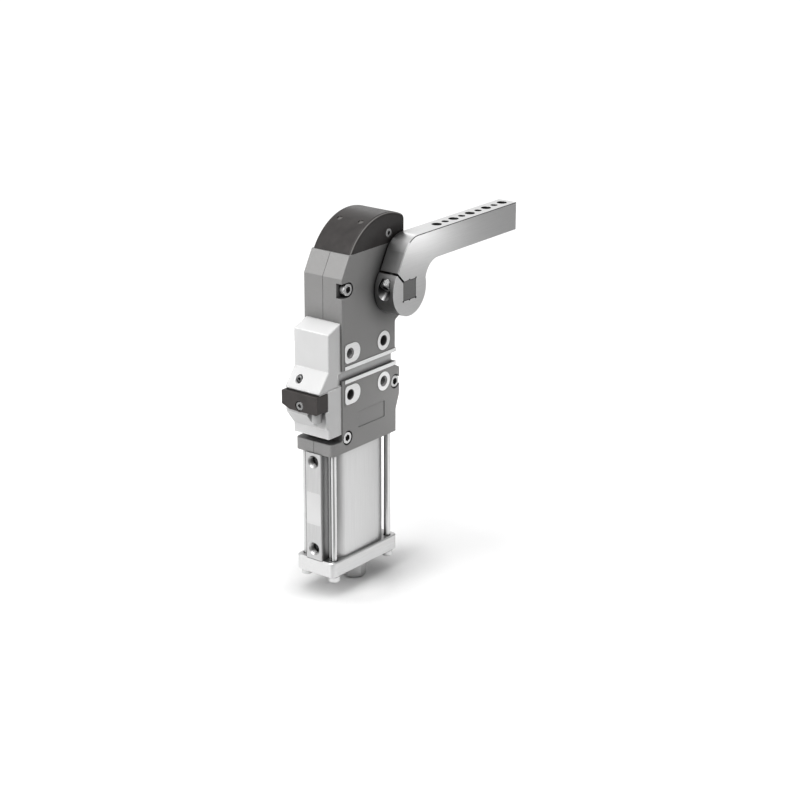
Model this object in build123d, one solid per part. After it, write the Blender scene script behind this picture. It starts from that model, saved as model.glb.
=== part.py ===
from build123d import *
from math import atan2, cos, degrees, hypot, radians, sin, sqrt
import os

# Pneumatic power clamp, in millimetres. The origin is the arm shaft's axis where it crosses the
# body's parting plane. X runs along the clamping arm, Y through the body's thickness (the near
# side, with the arm, is -Y) and Z up the cylinder. The model is at rest with the arm clamped.

# Body: two cast halves that meet at the parting plane
body_half = 19.0
front_x = -60.2
slope_z = 17.9
slope_top_x = -50.7
seat_z = 35.0
head_back_x = 18.8
chin_high_z = -23.4
chin_low_z = -30.0
neck_back_x = 6.2
lug_back_x = 11.9
lug_top_z = -70.5
lug_low_z = -93.0
base_back_x = 7.4
base_z = -124.0
flange_front_x = -73.2
flange_height = 10.0
flange_corner = 4.0
front_corner = 0.8
parting_chamfer = 0.25
base_taper = 12.0

# Mounting pads, holes and key slot on both sides
pattern_x = -29.5
pattern_z = -60.3
pattern_width = 42.0
pattern_height = 34.0
thread_drill = 3.4
dowel_radius = 4.0
thread_depth = 9.0
dowel_depth = 8.0
pad_rise = 0.4
hole_rim = 0.5
pad_radius = 7.85
wide_pad_right_x = -38.3
pad_left_x = -57.2
band_half = 7.1
band_back_x = 7.3
key_width = 8.0
key_depth = 2.9
key_back_depth = 3.0

# Bare recess for a plate, low on the near side
panel_front_x = -40.8
panel_back_x = -7.1
panel_low_z = -107.7
panel_top_z = -93.8
panel_corner = 1.0
panel_depth = 0.5

# Screws that hold the halves together, and their seats
body_screw = 3.0
body_screw_head = 5.0
body_head_height = 5.4
body_socket = 5.0
body_seat_depth = 5.6
body_screw_length = 25.0
seat_clearance = 1.0
screw_fit = 0.1
pocket_x = -52.2
pocket_z = 8.2
lug_screw_x = 6.6
lug_screw_z = -81.5
base_screw_x = -54.0
base_screw_z = -112.5

# Top cover and the crown of the body that carries it
cover_radius = 50.4
cover_centre_x = -5.8
cover_centre_z = 9.4
cover_corner = 5.0
cover_edge = 2.4
cover_wall = 3.5
cover_side_wall = 4.0
crown_gap = 0.2
crown_front_x = -18.0
crown_back_x = 11.0
crown_height = 14.0
cover_screw_x = -1.4
cover_screw_z = 42.9
cover_screw = 2.0
cover_screw_head = 3.7
cover_head_height = 2.1
cover_head_gap = 0.3
cover_socket = 3.0
cover_seat_depth = 2.2
cover_screw_length = 9.0
dimple_x = -25.1
dimple_lift = 44.1
dimple_y = 10.5
dimple_radius = 2.4
dimple_depth = 0.9

# Toggle drive inside the head
shaft_radius = 12.0
shaft_neck = 9.6
crank_hub = 14.0
crank_radius = 18.0
crank_rest_deg = 100.0
crank_eye = 7.5
chamber_gap = 0.5
eye_gap = 1.5
web_half = 3.9
link_length = 24.0
link_thickness = 3.8
link_gap = 0.2
link_eye = 7.0
link_waist = 5.2
link_far_eye = 10.4
open_pivot_gap = 4.2
pin_radius = 4.0
running_fit = 0.05
rod_x = -23.5
arm_travel_deg = 90.0
slide_per_radian = 19.956
chamber_half = 9.0
chamber_wall = 4.2
chamber_floor_gap = 1.0
chamber_corner = 1.5

# Knuckle and its guides
knuckle_eye = 8.0
knuckle_drop = 12.0
knuckle_width = 22.0
knuckle_height = 20.0
knuckle_side_gap = 0.3
rail_depth = 4.4
rail_half = 3.9
rail_gap = 0.15
rail_slot = 1.7
wall_slot = 2.0
rod_thread = 5.0
rod_thread_depth = 12.0

# Square output shaft and its bushes
square = 16.0
square_chamfer = 0.8
bush_wall = 2.0
bush_flange = 16.0
bush_flange_thickness = 1.2
arm_gap = 1.5

# Clamp arm
arm_thickness = 18.0
arm_hub = 21.3
arm_reach = 144.7
arm_low_z = 18.7
arm_high_z = 41.8
arm_back_lean = 61.0
arm_back_radius = 21.0
arm_inner_x = 20.6
arm_inner_radius = 17.0
arm_root = 4.0
arm_edge = 0.5
bore_relief = 0.9
square_fit = 0.05
slit_width = 1.8
clamp_deg = 135.0
clamp_screw_offset = 16.0
clamp_screw = 3.0
clamp_screw_head = 5.0
clamp_head_height = 6.0
clamp_socket = 5.0
clamp_screw_length = 18.0
clamp_pocket = 6.0
clamp_ligament = 5.0
arm_hole_start = 46.9
arm_hole_pitch = 22.4
arm_hole_count = 5
arm_hole = 4.2
arm_dowel = 3.0

# Oval cylinder
tube_x = -32.0
tube_straight = 38.0
tube_outer = 16.0
tube_wall = 3.0
tube_length = 90.3
rod_radius = 7.0
rod_bore_gap = 0.5
piston_length = 28.0
piston_gap = 0.25
piston_groove = 1.7
groove_inset = 3.0
seal_height = 3.0
wear_height = 4.0
seal_fit = 0.05
bumper_thickness = 3.0
end_gap = 0.8
nut_height = 6.0
nut_flats = 15.0
cover_plate_height = 5.4
cover_plate_radius = 15.4
cover_spigot = 10.0
spigot_fit = 0.1
rod_bush_wall = 2.0
rod_seal_wall = 4.0
rod_seal_height = 5.0
ring_height = 2.2
ring_depth = 1.6
ring_inset = 2.0
lip_inset = 1.2
nut_room = 2.5
duct_room = 2.0

# End plate, tie rods and hexagon plug
plate_length = 83.6
plate_width = 38.6
plate_thickness = 12.8
plate_corner = 4.6
plate_edge = 0.8
tie_half_x = 34.2
tie_half_y = 14.1
tie_radius = 2.55
tie_hole_gap = 0.5
tie_grip = 9.0
tie_end_gap = 0.5
tie_head = 4.4
tie_head_height = 5.0
tie_socket = 4.0
plug_flats = 17.0
plug_length = 17.0
plug_turn_deg = 12.0
plug_stud = 6.0
plug_stud_gap = 3.0
plug_chamfer = 1.2

# Port rail
rail_height = 7.1
port_rail_half = 8.0
rail_sink = 5.0
port_drill = 4.3
port_depth = 5.4
port_countersink = 1.1
port_top_drop = 7.4
port_low_rise = 8.9
duct_radius = 1.5
duct_rise = 2.2
duct_inset = 7.0
base_duct_length = 6.0

# Switch housing, connector block and switches
housing_front_x = -75.1
housing_half = 17.3
housing_top_z = -17.4
housing_top_front_z = -23.2
housing_face_low_z = -53.7
shoulder_x = -87.0
ledge_z = -68.5
base_half = 17.9
nose_x = -85.3
nose_low_z = -89.0
base_front_x = -76.0
base_face_high_z = -101.0
base_low_z = -108.3
housing_corner = 1.1
housing_wall = 2.4
recess_width = 3.4
recess_height = 10.5
block_gap = 0.3
front_flat = 0.4
block_front_x = -90.0
block_half = 17.8
block_top_z = -70.0
block_low_z = -84.7
block_step = 0.6
block_corner = 1.0
block_cut_y = 8.0
block_cut_z = 3.2
block_screw_z = -80.3
block_boss = 5.0
block_screw = 2.0
block_screw_head = 3.6
block_head_height = 2.6
block_seat_depth = 3.0
block_socket = 3.0
block_post = 4.5
shoulder_screw_y = 7.0
shoulder_screw_z = -61.8
shoulder_screw = 1.5
shoulder_screw_head = 2.8
shoulder_head_height = 3.0
shoulder_socket = 2.5
shoulder_post = 4.2
small_head_gap = 0.5
shoulder_head_x = -78.3
connector_x = -82.3
connector_y = -11.2
connector_radius = 4.0
connector_low_z = -93.6
connector_top_z = -74.0
connector_wall = 1.1
connector_mouth = 6.0
connector_chamfer = 0.5
connector_pin = 0.5
connector_pin_circle = 1.5
connector_pin_recess = 1.2
connector_pin_length = 4.8
scallop_radius = 7.0
ledge_inset = 2.0
screw_into_body = 8.0
screw_end_gap = 0.5
carrier_thickness = 2.0
carrier_x = -67.8
carrier_ends = 0.8
switch_low_y = -4.5
switch_high_y = 2.3
switch_height = 10.0
switch_offset = 4.6
switch_chamfer = 1.0
switch_face_x = -62.4
dog_half = 1.2
dog_height = 5.0
dog_tip_x = -61.4
dog_root = 5.0
dog_chamfer = 1.0
dog_slot_gap = 1.0
dog_pin_radius = 1.5
pin_recess = 0.8

# Small values that many pieces share
hair = 0.02
pin_chamfer = 0.4
rod_chamfer = 0.8
shaft_end_chamfer = 0.5
rail_chamfer = 0.5
head_chamfer_share = 0.08
socket_floor_share = 0.45
tip_chamfer_share = 0.3

# Places worked out from the dimensions above
side_y = body_half
pad_y = body_half + pad_rise
flange_top_z = base_z + flange_height
crank_x = crank_radius * cos(radians(crank_rest_deg))
crank_z = crank_radius * sin(radians(crank_rest_deg))
knuckle_z = crank_z - sqrt(link_length**2 - (rod_x - crank_x) ** 2)
stroke = slide_per_radian * radians(arm_travel_deg)
block_z = knuckle_z - knuckle_drop
knuckle_low_z = block_z - knuckle_height
link_inner_y = web_half + link_gap
link_outer_y = link_inner_y + link_thickness
rail_face = knuckle_width / 2 + rail_gap
rail_back = rail_face + rail_depth
chamber_low_z = knuckle_low_z - stroke - chamber_floor_gap
chamber_radius = crank_radius + crank_eye + chamber_gap
tube_low_z = base_z - tube_length
piston_top_z = base_z - cover_spigot - bumper_thickness - end_gap
piston_low_z = piston_top_z - piston_length
spigot_top_z = piston_low_z - stroke - end_gap - bumper_thickness
plate_low_z = tube_low_z - plate_thickness
tube_inner = tube_outer - tube_wall
tube_front_x = tube_x - tube_straight / 2 - tube_outer
rail_front_x = tube_front_x - rail_height
port_rail_back_x = tube_front_x + rail_sink
duct_x = tube_front_x - duct_rise
duct_inner_x = tube_front_x + duct_inset
block_back_x = base_front_x - block_step
piston_radius = tube_inner - piston_gap
arm_inner_y = -(body_half + arm_gap)
arm_outer_y = arm_inner_y - arm_thickness
arm_mid_y = (arm_inner_y + arm_outer_y) / 2
shaft_end_y = -arm_outer_y
journal_y = body_half + bush_flange_thickness
screw_seat_y = body_half - body_seat_depth
cover_seat_y = body_half - cover_seat_depth
column_x = [pattern_x - pattern_width / 2, pattern_x + pattern_width / 2]
row_z = [pattern_z - pattern_height / 2, pattern_z + pattern_height / 2]
dog_z = knuckle_low_z + dog_height / 2
slot_low_z = dog_z - stroke - dog_height / 2 - dog_slot_gap
slot_top_z = dog_z + dog_height / 2 + dog_slot_gap
dog_pin_x = rod_x - knuckle_width / 2 + dog_root / 2
screw_places = [(pocket_x, pocket_z), (lug_screw_x, lug_screw_z), (base_screw_x, base_screw_z)]
tie_places = [(tube_x + i * tie_half_x, j * tie_half_y) for i in (-1, 1) for j in (-1, 1)]


# Shared shapes
def side_slab(face, y_from, y_to):
    """A profile drawn in X and Z, given the thickness between two Y planes."""
    low, high = sorted((y_from, y_to))
    return extrude(Plane.XZ.offset(-high) * face, high - low)


def upright(face, z_from, z_to):
    """A profile drawn in X and Y, raised between two heights."""
    return extrude(Pos(0, 0, z_from) * face, z_to - z_from)


def outline(points, radii=0):
    """A closed profile with its corners rounded where a radius is given."""
    return make_face(FilletPolyline(*points, radius=radii, close=True))


def block(x_from, x_to, y_from, y_to, z_from, z_to):
    """A box between two corners."""
    size = (x_to - x_from, y_to - y_from, z_to - z_from)
    middle = ((x_from + x_to) / 2, (y_from + y_to) / 2, (z_from + z_to) / 2)
    return Pos(*middle) * Box(*size)


def rod_along(axis, radius, start, length):
    """A round bar or hole of one radius from a start point along a direction."""
    base = Plane(origin=start, z_dir=axis)
    return extrude(base * Circle(radius), length)


def stadium(radius):
    """The cylinder's oval section with its two end radii."""
    return Pos(tube_x, 0) * SlotCenterToCenter(tube_straight, 2 * radius)


def cap_screw(radius, head, length, start, axis):
    """A socket screw: its head's seat is at the start point and the head stands along the axis."""
    head_radius, head_height, flats = head
    cap = extrude(Circle(head_radius), head_height)
    cap = chamfer(cap.edges().group_by(Axis.Z)[-1], head_height * head_chamfer_share)
    hexagon = RegularPolygon(flats / 2, 6, major_radius=False)
    socket = Pos(0, 0, head_height * socket_floor_share) * extrude(hexagon, head_height)
    shank = Pos(0, 0, -length) * extrude(Circle(radius), length)
    shank = chamfer(shank.edges().group_by(Axis.Z)[0], radius * tip_chamfer_share)
    return Plane(origin=start, z_dir=axis) * (cap - socket + shank)


def polar_point(radius, angle_deg):
    """A point in X and Z at a radius and angle about the shaft's axis."""
    return (radius * cos(radians(angle_deg)), radius * sin(radians(angle_deg)))


# Body halves
def body_profile():
    """The side view shared by both halves, with base flange, lug, chin and sloping shoulder."""
    band_top = pattern_z + band_half
    band_low = pattern_z - band_half
    points = [
        (flange_front_x, base_z),
        (flange_front_x, flange_top_z),
        (front_x, flange_top_z),
        (front_x, slope_z),
        (slope_top_x, seat_z),
        (head_back_x, seat_z),
        (head_back_x, chin_high_z),
        (neck_back_x, chin_low_z),
        (neck_back_x, band_top),
        (band_back_x, band_top),
        (band_back_x, band_low),
        (neck_back_x, band_low),
        (lug_back_x, lug_top_z),
        (lug_back_x, lug_low_z),
        (base_back_x, lug_low_z - base_taper),
        (base_back_x, base_z),
    ]
    radii = [0, 0, 1.2, 1.0, 0, 0, 3, 3, 0, 0.4, 0.4, 0, 1.6, 4, 4, 0]
    return outline(points, radii)


def chamber():
    """The room for crank, link and knuckle, with the channel that the knuckle runs in."""
    swing = side_slab(Circle(chamber_radius), -chamber_half, chamber_half)
    reach = chamber_radius + 1
    swing &= block(-reach, head_back_x - chamber_wall, -side_y, side_y, -reach, reach)
    left = rod_x - rail_back
    right = rod_x + rail_back
    top = knuckle_z + link_far_eye + eye_gap
    corners = [(left, chamber_low_z), (right, chamber_low_z), (right, top), (left, top)]
    channel = side_slab(outline(corners, chamber_corner), -chamber_half, chamber_half)
    dog_slot = block(front_x - 1, left + 1, -wall_slot, wall_slot, slot_low_z, slot_top_z)
    return swing + channel + dog_slot


def body_half_blank(dowels_rise):
    """One casting without its screw holes. The dowel holes lie on the rising or the falling diagonal."""
    half = side_slab(body_profile(), -side_y, 0)
    half = chamfer(half.faces().sort_by(Axis.Y)[-1].edges(), parting_chamfer)
    uprights = half.edges().filter_by(Axis.Z).group_by(Axis.Y)[0]
    half = fillet(uprights.filter_by_position(Axis.X, flange_front_x - 1, flange_front_x + 1), flange_corner)
    uprights = half.edges().filter_by(Axis.Z).group_by(Axis.Y)[0]
    half = fillet(uprights.filter_by_position(Axis.X, front_x - 1, front_x + 1), front_corner)
    crown = side_slab(
        outline(
            [
                (crown_front_x, seat_z - 1),
                (crown_back_x, seat_z - 1),
                (crown_back_x, seat_z + crown_height),
                (crown_front_x, seat_z + crown_height),
            ],
            [0, 0, 3, 3],
        ),
        -(side_y - cover_side_wall - crown_gap),
        0,
    )
    half += crown
    pads = Sketch() + [Pos(column_x[1], z) * Circle(pad_radius) for z in row_z]
    wide_centre = wide_pad_right_x - pad_radius
    for z in row_z:
        pads += Pos(wide_centre, z) * Circle(pad_radius)
        pads += Pos((wide_centre + pad_left_x) / 2, z) * Rectangle(wide_centre - pad_left_x, 2 * pad_radius)
    pads += outline(
        [
            (pad_left_x, pattern_z - band_half),
            (band_back_x, pattern_z - band_half),
            (band_back_x, pattern_z + band_half),
            (pad_left_x, pattern_z + band_half),
        ]
    )
    half += side_slab(pads, -pad_y, -side_y + 0.5)
    half -= block(
        front_x - 1,
        band_back_x + 1,
        -pad_y - 1,
        -pad_y + key_depth,
        pattern_z - key_width / 2,
        pattern_z + key_width / 2,
    )
    half -= block(
        band_back_x - key_back_depth,
        band_back_x + 1,
        -pad_y - 1,
        1,
        pattern_z - key_width / 2,
        pattern_z + key_width / 2,
    )
    for i, x in enumerate(column_x):
        for j, z in enumerate(row_z):
            is_dowel = (i == j) == dowels_rise
            radius = dowel_radius if is_dowel else thread_drill
            depth = dowel_depth if is_dowel else thread_depth
            half -= rod_along((0, 1, 0), radius, (x, -pad_y, z), depth)
            rim = countersink(dowel_radius + hole_rim, radius)
            half -= Plane(origin=(x, -pad_y, z), z_dir=(0, 1, 0)) * rim
    half -= chamber()
    half -= rod_along((0, 0, 1), rod_radius + rod_bore_gap, (rod_x, 0, base_z), -base_z + chamber_low_z + 1)
    half -= upright(stadium(cover_plate_radius + spigot_fit), base_z - 1, base_z + cover_plate_height)
    half -= rod_along((0, 1, 0), shaft_radius + bush_wall, (0, -side_y - 1, 0), side_y)
    for x, y in tie_places:
        half -= rod_along((0, 0, 1), tie_radius, (x, y, base_z), tie_grip + tie_end_gap)
    half -= rod_along((0, 0, 1), duct_radius, (duct_x, 0, base_z), cover_plate_height / 2 + duct_radius)
    half -= rod_along((1, 0, 0), duct_radius, (duct_x, 0, base_z + cover_plate_height / 2), base_duct_length)
    for y, z, radius in (
        (shoulder_screw_y, shoulder_screw_z, shoulder_screw),
        (-shoulder_screw_y, shoulder_screw_z, shoulder_screw),
        (0, block_screw_z, block_screw),
    ):
        depth = screw_into_body + 1 + screw_end_gap
        half -= rod_along((1, 0, 0), radius + hair, (front_x - 1, y, z), depth)
    return half


def countersink(rim_radius, hole_radius):
    """A 45-degree lead-in cone, its rim on the local origin plane and its point along local Z."""
    depth = rim_radius - hole_radius
    return Pos(0, 0, depth / 2) * Cone(rim_radius, hole_radius, depth)


def body_near():
    """The near half: screw heads sit in a front pocket and in round seats, and the panel is bare."""
    half = body_half_blank(True)
    seat = body_screw_head + seat_clearance
    for x, z in screw_places:
        half -= rod_along((0, -1, 0), seat, (x, -screw_seat_y, z), body_seat_depth + 1)
        half -= rod_along((0, -1, 0), body_screw + screw_fit, (x, 0.5, z), body_half)
    half -= block(front_x - 1, pocket_x, -side_y - 1, -screw_seat_y, pocket_z - seat, pocket_z + seat)
    corners = [(panel_front_x, panel_low_z), (panel_back_x, panel_low_z)]
    corners += [(panel_back_x, panel_top_z), (panel_front_x, panel_top_z)]
    return half - side_slab(outline(corners, panel_corner), -side_y - 1, -side_y + panel_depth)


def body_far():
    """The far half: mirrored, with its dowels on the other diagonal and threads for the body screws."""
    half = mirror(body_half_blank(False), Plane.XZ)
    thread_end = body_screw_length - screw_seat_y + 1
    for x, z in screw_places:
        half -= rod_along((0, 1, 0), body_screw + hair, (x, -1, z), thread_end + 1)
    return half


def body_screws():
    """Three socket screws that draw the halves together."""
    head = (body_screw_head, body_head_height, body_socket)
    seats = [(x, -screw_seat_y, z) for x, z in screw_places]
    return [cap_screw(body_screw, head, body_screw_length, seat, (0, -1, 0)) for seat in seats]


# Top cover
def cover_profile(inset):
    """The cover's domed side view, drawn in by an inset from its outer skin."""
    radius = cover_radius - inset
    back = head_back_x - inset
    start = (cover_centre_x - sqrt(radius**2 - (seat_z - cover_centre_z) ** 2), seat_z)
    end = (back, cover_centre_z + sqrt(radius**2 - (back - cover_centre_x) ** 2))
    start_angle = degrees(atan2(start[1] - cover_centre_z, start[0] - cover_centre_x))
    end_angle = degrees(atan2(end[1] - cover_centre_z, end[0] - cover_centre_x))
    middle = radians((start_angle + end_angle) / 2)
    crest = (cover_centre_x + radius * cos(middle), cover_centre_z + radius * sin(middle))
    edges = ThreePointArc(start, crest, end) + Line(end, (back, seat_z)) + Line((back, seat_z), start)
    face = make_face(edges)
    corner = face.vertices().sort_by_distance((end[0], end[1], 0))[0]
    return fillet(corner, cover_corner - min(inset, cover_corner / 2))


def top_cover():
    """A moulded cap over the head, open below, with a screw seat and a dimple on each side."""
    cap = side_slab(cover_profile(0), -side_y, side_y)
    for side in (0, -1):
        rim = cap.edges().group_by(Axis.Y)[side].filter_by(
            lambda e: e.bounding_box().max.Z > seat_z + 1 and e.center().Z > seat_z + 0.5
        )
        cap = fillet(rim, cover_edge)
    inner_y = side_y - cover_side_wall
    cap -= side_slab(cover_profile(cover_wall), -inner_y, inner_y)
    lift = hypot(dimple_x - cover_centre_x, dimple_lift)
    out = ((dimple_x - cover_centre_x) / lift, dimple_lift / lift)
    past = cover_side_wall + 1
    for side in (-1, 1):
        start = (
            cover_centre_x + out[0] * (cover_radius - dimple_depth),
            side * dimple_y,
            cover_centre_z + out[1] * (cover_radius - dimple_depth),
        )
        cap -= rod_along((out[0], 0, out[1]), dimple_radius, start, past)
        place = (cover_screw_x, side * cover_seat_y, cover_screw_z)
        cap -= rod_along((0, side, 0), cover_screw_head + cover_head_gap, place, past)
        cap -= rod_along((0, -side, 0), cover_screw + screw_fit, place, past)
    return cap


def cover_screws():
    """One low-head screw on each side of the cover."""
    head = (cover_screw_head, cover_head_height, cover_socket)
    seats = [(side, (cover_screw_x, side * cover_seat_y, cover_screw_z)) for side in (-1, 1)]
    return [cap_screw(cover_screw, head, cover_screw_length, seat, (0, side, 0)) for side, seat in seats]


def drill_crown(half, side):
    """The blind thread in the crown for the cover's screw."""
    start = (cover_screw_x, side * (side_y - cover_side_wall + 1), cover_screw_z)
    return half - rod_along((0, -side, 0), cover_screw + hair, start, cover_screw_length)


# Toggle drive
def output_shaft():
    """Shaft with two square ends, journals, necks beside the link plates and a central crank web."""
    journal = rod_along((0, -1, 0), shaft_radius, (0, journal_y, 0), journal_y - link_outer_y - link_gap)
    journal += mirror(journal, Plane.XZ)
    neck = rod_along((0, 1, 0), shaft_neck, (0, -link_outer_y - 1, 0), 2 * link_outer_y + 2)
    web = make_hull((Circle(crank_hub) + Pos(crank_x, crank_z) * Circle(crank_eye)).edges())
    ends = Box(square, 2 * shaft_end_y, square)
    ends = chamfer(ends.edges().filter_by(Axis.Y), square_chamfer)
    ends = chamfer(ends.faces().sort_by(Axis.Y)[0].edges(), shaft_end_chamfer)
    ends = chamfer(ends.faces().sort_by(Axis.Y)[-1].edges(), shaft_end_chamfer)
    ends -= rod_along((0, 1, 0), square, (0, -journal_y + 1, 0), 2 * journal_y - 2)
    shaft = journal + neck + side_slab(web, -web_half, web_half) + ends
    return shaft - rod_along((0, 1, 0), pin_radius, (crank_x, -web_half - 1, crank_z), 2 * web_half + 2)


def shaft_bushes():
    """Flanged bearing bushes, one in each half."""
    bushes = []
    for side in (-1, 1):
        length = body_half - chamber_half
        bush = rod_along((0, side, 0), shaft_radius + bush_wall, (0, side * chamber_half, 0), length)
        bush += rod_along((0, side, 0), bush_flange, (0, side * body_half, 0), bush_flange_thickness)
        start = (0, side * (chamber_half - 1), 0)
        bore = rod_along((0, side, 0), shaft_radius + running_fit, start, length + bush_flange_thickness + 2)
        bushes.append(bush - bore)
    return bushes


def cross_pin(radius, x, z, half_length):
    """A plain pin across the drive with broken end edges."""
    pin = rod_along((0, 1, 0), radius, (x, -half_length, z), 2 * half_length)
    pin = chamfer(pin.edges().group_by(Axis.Y)[0], pin_chamfer)
    return chamfer(pin.edges().group_by(Axis.Y)[-1], pin_chamfer)


def link_plates():
    """Two toggle links. Their far eyes are opened out round the knuckle pin."""
    direction = degrees(atan2(knuckle_z - crank_z, rod_x - crank_x))
    waist = Pos(link_length / 2, 0) * Rectangle(link_length, 2 * link_waist)
    face = Circle(link_eye) + waist + Pos(link_length, 0) * Circle(link_far_eye)
    face -= Circle(pin_radius + running_fit)
    face -= Pos(link_length, 0) * Circle(pin_radius + open_pivot_gap)
    face = Pos(crank_x, crank_z) * Rot(0, 0, direction) * face
    return [side_slab(face, s * link_inner_y, s * link_outer_y) for s in (-1, 1)]


def knuckle():
    """The rod's head: a tongue between the links on a block that runs between the guide rails."""
    foot = Pos(rod_x, block_z) * Rectangle(2 * knuckle_eye, 2)
    tongue = make_hull((Pos(rod_x, knuckle_z) * Circle(knuckle_eye) + foot).edges())
    half = knuckle_width / 2
    body_y = chamber_half - knuckle_side_gap
    body = block(rod_x - half, rod_x + half, -body_y, body_y, knuckle_low_z, block_z)
    body = fillet(body.edges().filter_by(Axis.Y), chamber_corner)
    head = body + side_slab(tongue, -web_half, web_half)
    head -= rod_along((0, 1, 0), pin_radius, (rod_x, -web_half - 1, knuckle_z), 2 * web_half + 2)
    head -= rod_along((0, 0, 1), rod_thread, (rod_x, 0, knuckle_low_z), rod_thread_depth + 1)
    head -= dog_blade()
    return head - rod_along((0, 1, 0), dog_pin_radius, (dog_pin_x, -body_y - 1, dog_z), 2 * body_y + 2)


def guide_rail(side):
    """A hardened strip that guides the knuckle. The front one is slotted for the switch dog."""
    inner = rod_x + side * rail_face
    outer = rod_x + side * rail_back
    top = knuckle_z - 2 if side < 0 else -crank_hub - 2
    low, high = sorted((inner, outer))
    strip = block(low, high, -rail_half, rail_half, chamber_low_z + chamber_corner, top)
    if side < 0:
        strip -= block(low - 1, high + 1, -rail_slot, rail_slot, slot_low_z, slot_top_z)
    return strip


def dog_blade():
    """The blade that the knuckle carries out through the body's front wall to the switches."""
    root = rod_x - knuckle_width / 2 + dog_root
    blade = block(dog_tip_x, root, -dog_half, dog_half, dog_z - dog_height / 2, dog_z + dog_height / 2)
    return chamfer(blade.edges().filter_by(Axis.Y).group_by(Axis.X)[0], dog_chamfer)


def switch_dog():
    """The blade with the hole for its cross pin."""
    hole = rod_along((0, 1, 0), dog_pin_radius, (dog_pin_x, -2 * dog_half, dog_z), 4 * dog_half)
    return dog_blade() - hole


# Cylinder
def piston_rod():
    """Ground rod with a threaded neck at each end."""
    rod = rod_along((0, 0, 1), rod_radius, (rod_x, 0, piston_top_z), knuckle_low_z - piston_top_z)
    low = piston_low_z - nut_height - 1
    rod += rod_along((0, 0, 1), rod_thread, (rod_x, 0, low), knuckle_low_z + rod_thread_depth - low)
    return chamfer(rod.edges().group_by(Axis.Z)[0], rod_chamfer)


def piston():
    """Oval piston with a seal groove between two wear-ring grooves."""
    body = upright(stadium(piston_radius), piston_low_z, piston_top_z)
    for z, height in piston_grooves():
        ring = upright(stadium(piston_radius + 1) - stadium(piston_radius - piston_groove), z, z + height)
        body -= ring
    return body - rod_along((0, 0, 1), rod_thread, (rod_x, 0, piston_low_z - 1), piston_length + 2)


def piston_grooves():
    """The lower edge and height of each groove: wear ring, seal, wear ring."""
    middle = (piston_low_z + piston_top_z - seal_height) / 2
    return [
        (piston_low_z + groove_inset, wear_height),
        (middle, seal_height),
        (piston_top_z - groove_inset - wear_height, wear_height),
    ]


def piston_ring(z, height):
    """A ring that fills one groove and runs in the tube."""
    return upright(stadium(tube_inner - seal_fit) - stadium(piston_radius - piston_groove), z, z + height)


def piston_nut():
    """Hexagon nut under the piston."""
    hexagon = Pos(rod_x, 0) * RegularPolygon(nut_flats / 2, 6, major_radius=False)
    nut = upright(hexagon, piston_low_z - nut_height, piston_low_z)
    return nut - rod_along((0, 0, 1), rod_thread, (rod_x, 0, piston_low_z - nut_height - 1), nut_height + 2)


def ring_groove(z):
    """The groove for a tube seal round a spigot."""
    section = stadium(tube_inner + 1) - stadium(tube_inner - spigot_fit - ring_depth)
    return upright(section, z, z + ring_height)


def tube_seals():
    """One oval seal at each end of the tube."""
    section = stadium(tube_inner - seal_fit) - stadium(tube_inner - spigot_fit - ring_depth)
    return [upright(section, z, z + ring_height) for z in seal_places()]


def seal_places():
    """The lower edge of the seal at the top and at the bottom of the tube."""
    return [base_z - ring_inset - ring_height, tube_low_z + ring_inset]


def rod_cover():
    """The cylinder's head: an oval plate held in the body, with a spigot down into the tube."""
    head = upright(stadium(cover_plate_radius), base_z, base_z + cover_plate_height)
    head += upright(stadium(tube_inner - spigot_fit), base_z - cover_spigot, base_z)
    head -= ring_groove(seal_places()[0])
    top = base_z + cover_plate_height
    low = base_z - cover_spigot - 1
    head -= rod_along((0, 0, 1), rod_radius + rod_bush_wall, (rod_x, 0, low), top - low + 1)
    head -= rod_along((0, 0, -1), rod_radius + rod_seal_wall, (rod_x, 0, top + 1), rod_seal_height + 1)
    duct_z = base_z + cover_plate_height / 2
    head -= rod_along((1, 0, 0), duct_radius, (duct_x, 0, duct_z), duct_inner_x - duct_x)
    head -= rod_along((0, 0, -1), duct_radius, (duct_inner_x, 0, duct_z), cover_spigot + cover_plate_height)
    return head


def rod_bush():
    """Bearing bush for the rod."""
    low = base_z - cover_spigot
    length = cover_spigot + cover_plate_height - rod_seal_height
    bush = rod_along((0, 0, 1), rod_radius + rod_bush_wall, (rod_x, 0, low), length)
    return bush - rod_along((0, 0, 1), rod_radius + running_fit, (rod_x, 0, low - 1), length + 2)


def rod_seal():
    """Rod seal above the bush, with a lip groove in its top."""
    low = base_z + cover_plate_height - rod_seal_height
    ring = rod_along((0, 0, 1), rod_radius + rod_seal_wall, (rod_x, 0, low), rod_seal_height)
    ring -= rod_along((0, 0, 1), rod_radius + running_fit, (rod_x, 0, low - 1), rod_seal_height + 2)
    lip_start = (rod_x, 0, low + rod_seal_height / 2)
    lip = rod_along((0, 0, 1), rod_radius + rod_seal_wall - lip_inset, lip_start, rod_seal_height)
    lip -= rod_along((0, 0, 1), rod_radius + lip_inset, lip_start, rod_seal_height)
    return ring - lip


def cylinder_tube():
    """Oval drawn tube."""
    return upright(stadium(tube_outer) - stadium(tube_inner), tube_low_z, base_z)


def end_bumpers():
    """Rubber pads that the piston meets at each end of its travel."""
    pads = []
    for low, hole in (
        (base_z - cover_spigot - bumper_thickness, rod_radius + 1),
        (spigot_top_z, nut_flats / 2 + nut_room),
    ):
        face = stadium(tube_inner - 1) - Pos(rod_x, 0) * Circle(hole)
        face -= Pos(duct_inner_x, 0) * Circle(duct_room)
        pads.append(upright(face, low, low + bumper_thickness))
    return pads


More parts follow.
